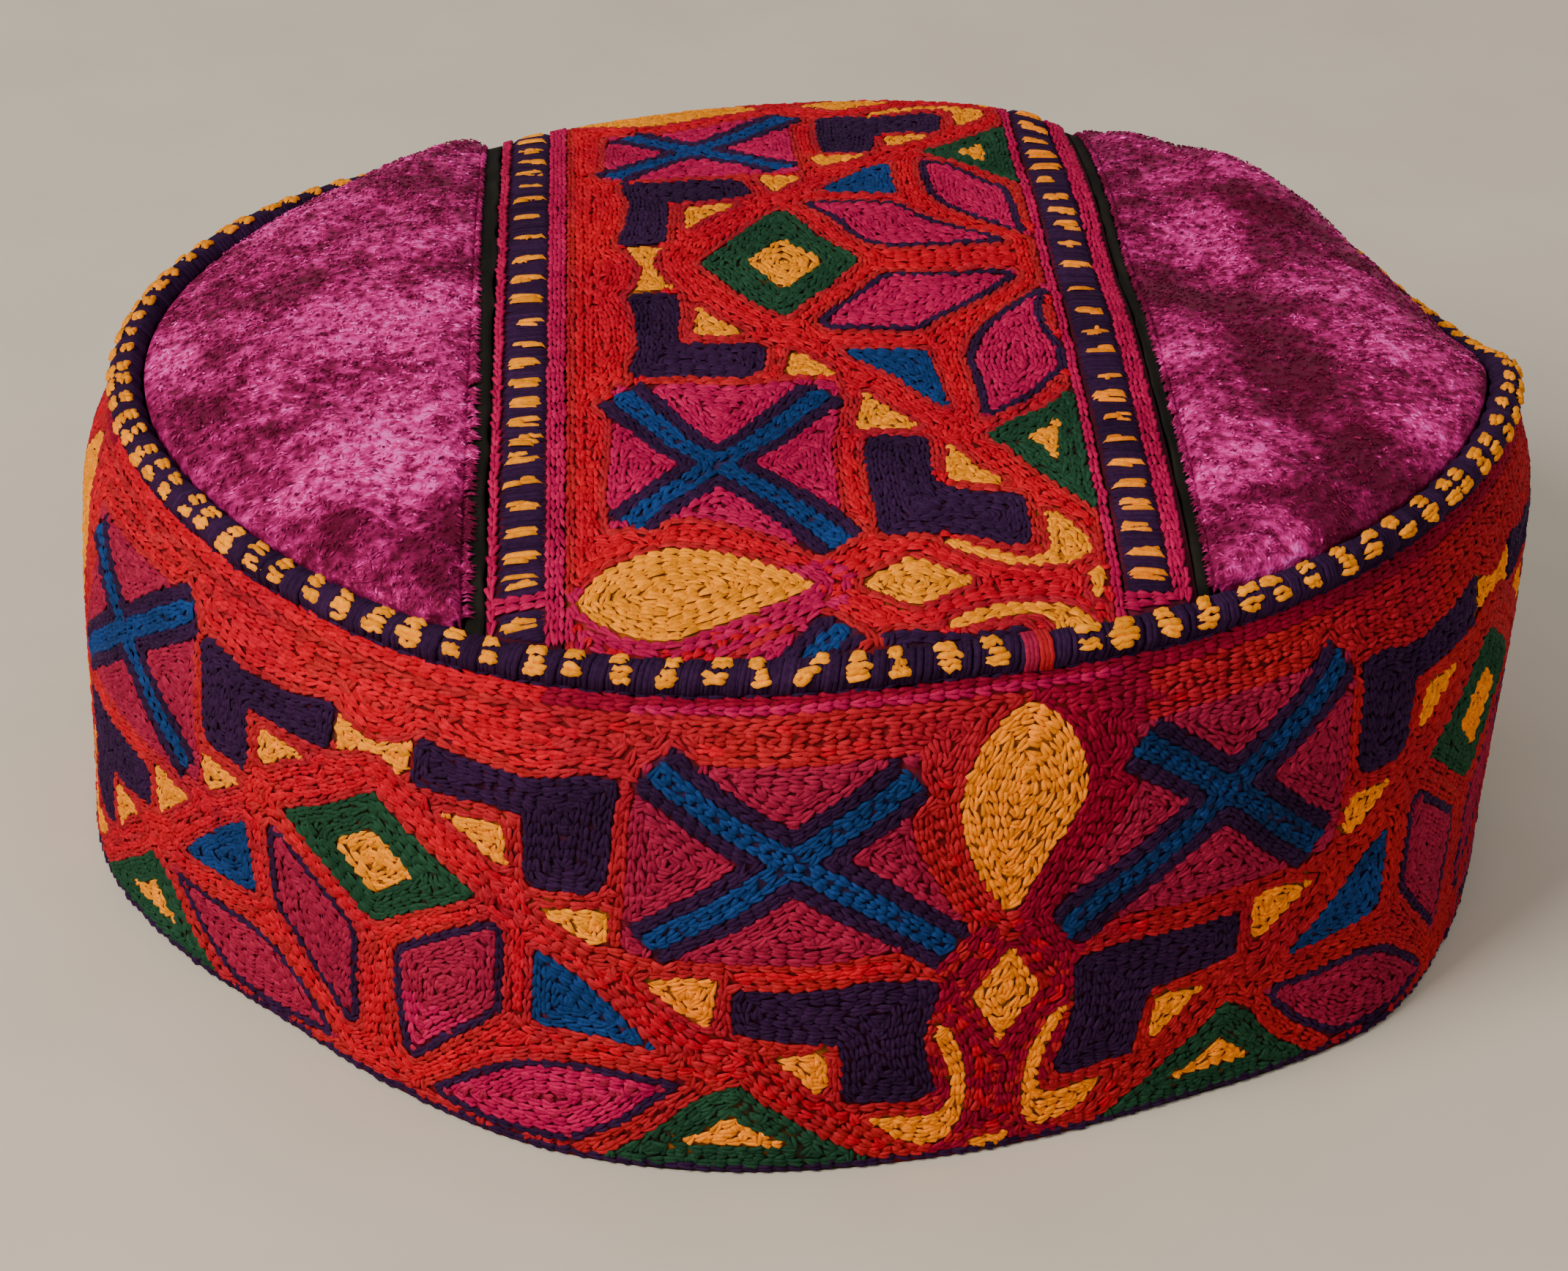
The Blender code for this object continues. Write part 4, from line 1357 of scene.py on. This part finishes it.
def velvet_cloth(name, side, seam, node):
    """Puffed velvet panel with a crushed surface."""
    edge = seam + side * 0.5 * GAP
    rx, ry, rz = rim(np.linspace(*panel_ends(side, edge), VELVET_ROWS)[:, None], CORD_RADIUS + GAP)
    sx = edge + STRIP_SLANT * ry
    u = np.linspace(0, 1, VELVET_COLUMNS)[None]
    x, y = sx + (rx - sx) * u, ry + 0 * u
    top = np.stack([x, y, velvet_face(x, y, u)], -1) + SHIFT
    bottom = np.stack([x, y, velvet_height(x, y, u) - CROWN_THICKNESS], -1) + SHIFT
    tone = np.tile(nap_light_and_shade(x, y).ravel(), 2)
    piece = cloth_slab(name, top, bottom, [VELVET, LINING], "velvet", flip=side > 0, tone=tone)
    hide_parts(node)
    return piece


velvet_left = velvet_cloth("velvet_left", -1, SEAM_LEFT, "crown_panel_left")
velvet_right = velvet_cloth("velvet_right", 1, SEAM_RIGHT, "crown_panel_right")

tufts = [velvet_tufts("pile_left", -1, SEAM_LEFT, 13500), velvet_tufts("pile_right", 1, SEAM_RIGHT, 14000)]
tufts.append(seam_pile("seam_pile_left", -1, SEAM_LEFT, 720, 1.3))
tufts.append(seam_pile("seam_pile_right", 1, SEAM_RIGHT, 620, 0.7))

# Floor and light, in metres
FLOOR_HALF = 3
floor_material, tree, shader, place = start_material("pale_floor")
tint = ramp(tree, noise(tree, place, 30.0, 3.0), [(0.3, (0.60, 0.535, 0.44)), (0.7, (0.64, 0.57, 0.475))])
connect(tree, shader, {"Base Color": tint, "Roughness": 0.9})
mesh = bpy.data.meshes.new("floor")
corners = [(x * FLOOR_HALF, y * FLOOR_HALF, 0) for x, y in ((-1, -1), (1, -1), (1, 1), (-1, 1))]
mesh.from_pydata(corners, [], [(0, 1, 2, 3)])
mesh.materials.append(floor_material)
floor = bpy.data.objects.new("floor", mesh)
bpy.context.scene.collection.objects.link(floor)

world = bpy.data.worlds.new("studio")
world.use_nodes = True
background = world.node_tree.nodes["Background"]
background.inputs["Color"].default_value = (1.0, 0.97, 0.93, 1.0)
background.inputs["Strength"].default_value = 0.6
bpy.context.scene.world = world

light_data = bpy.data.lights.new("key", "AREA")
light_data.size = 0.42
light_data.energy = 13.2
light_data.color = (1.0, 0.94, 0.86)
light = bpy.data.objects.new("key", light_data)
light.location = (-0.66, -0.58, 0.76)
light.rotation_euler = (Vector((0, 0, 0.05)) - light.location).to_track_quat("-Z", "Y").to_euler()
bpy.context.scene.collection.objects.link(light)

# Camera: where the photograph was taken from, aimed through the middle of the image
FOCAL_PX = 5647.0
IMAGE_WIDTH = 2141
AIM_LEFT = 0.005077
AIM_DOWN = 0.017845
SENSOR_MM = 36.0
eye = Vector((-44.7, -494.2, 313.8)) * MM
axis = Vector((0.0810, 0.8671, -0.4915)).normalized()
level_right = axis.cross(Vector((0, 0, 1))).normalized()
level_up = level_right.cross(axis)
roll = math.radians(2.365)
right = level_right * math.cos(roll) + level_up * math.sin(roll)
forward = (axis - AIM_LEFT * level_right - AIM_DOWN * level_up).normalized()
right = (right - forward * right.dot(forward)).normalized()
up = right.cross(forward)
camera_data = bpy.data.cameras.new("camera")
camera_data.sensor_width = SENSOR_MM
camera_data.lens = FOCAL_PX * SENSOR_MM / IMAGE_WIDTH
camera = bpy.data.objects.new("camera", camera_data)
turned = Matrix((right, up, -forward)).transposed()
camera.matrix_world = Matrix.Translation(eye) @ turned.to_4x4()
bpy.context.scene.collection.objects.link(camera)
bpy.context.scene.camera = camera
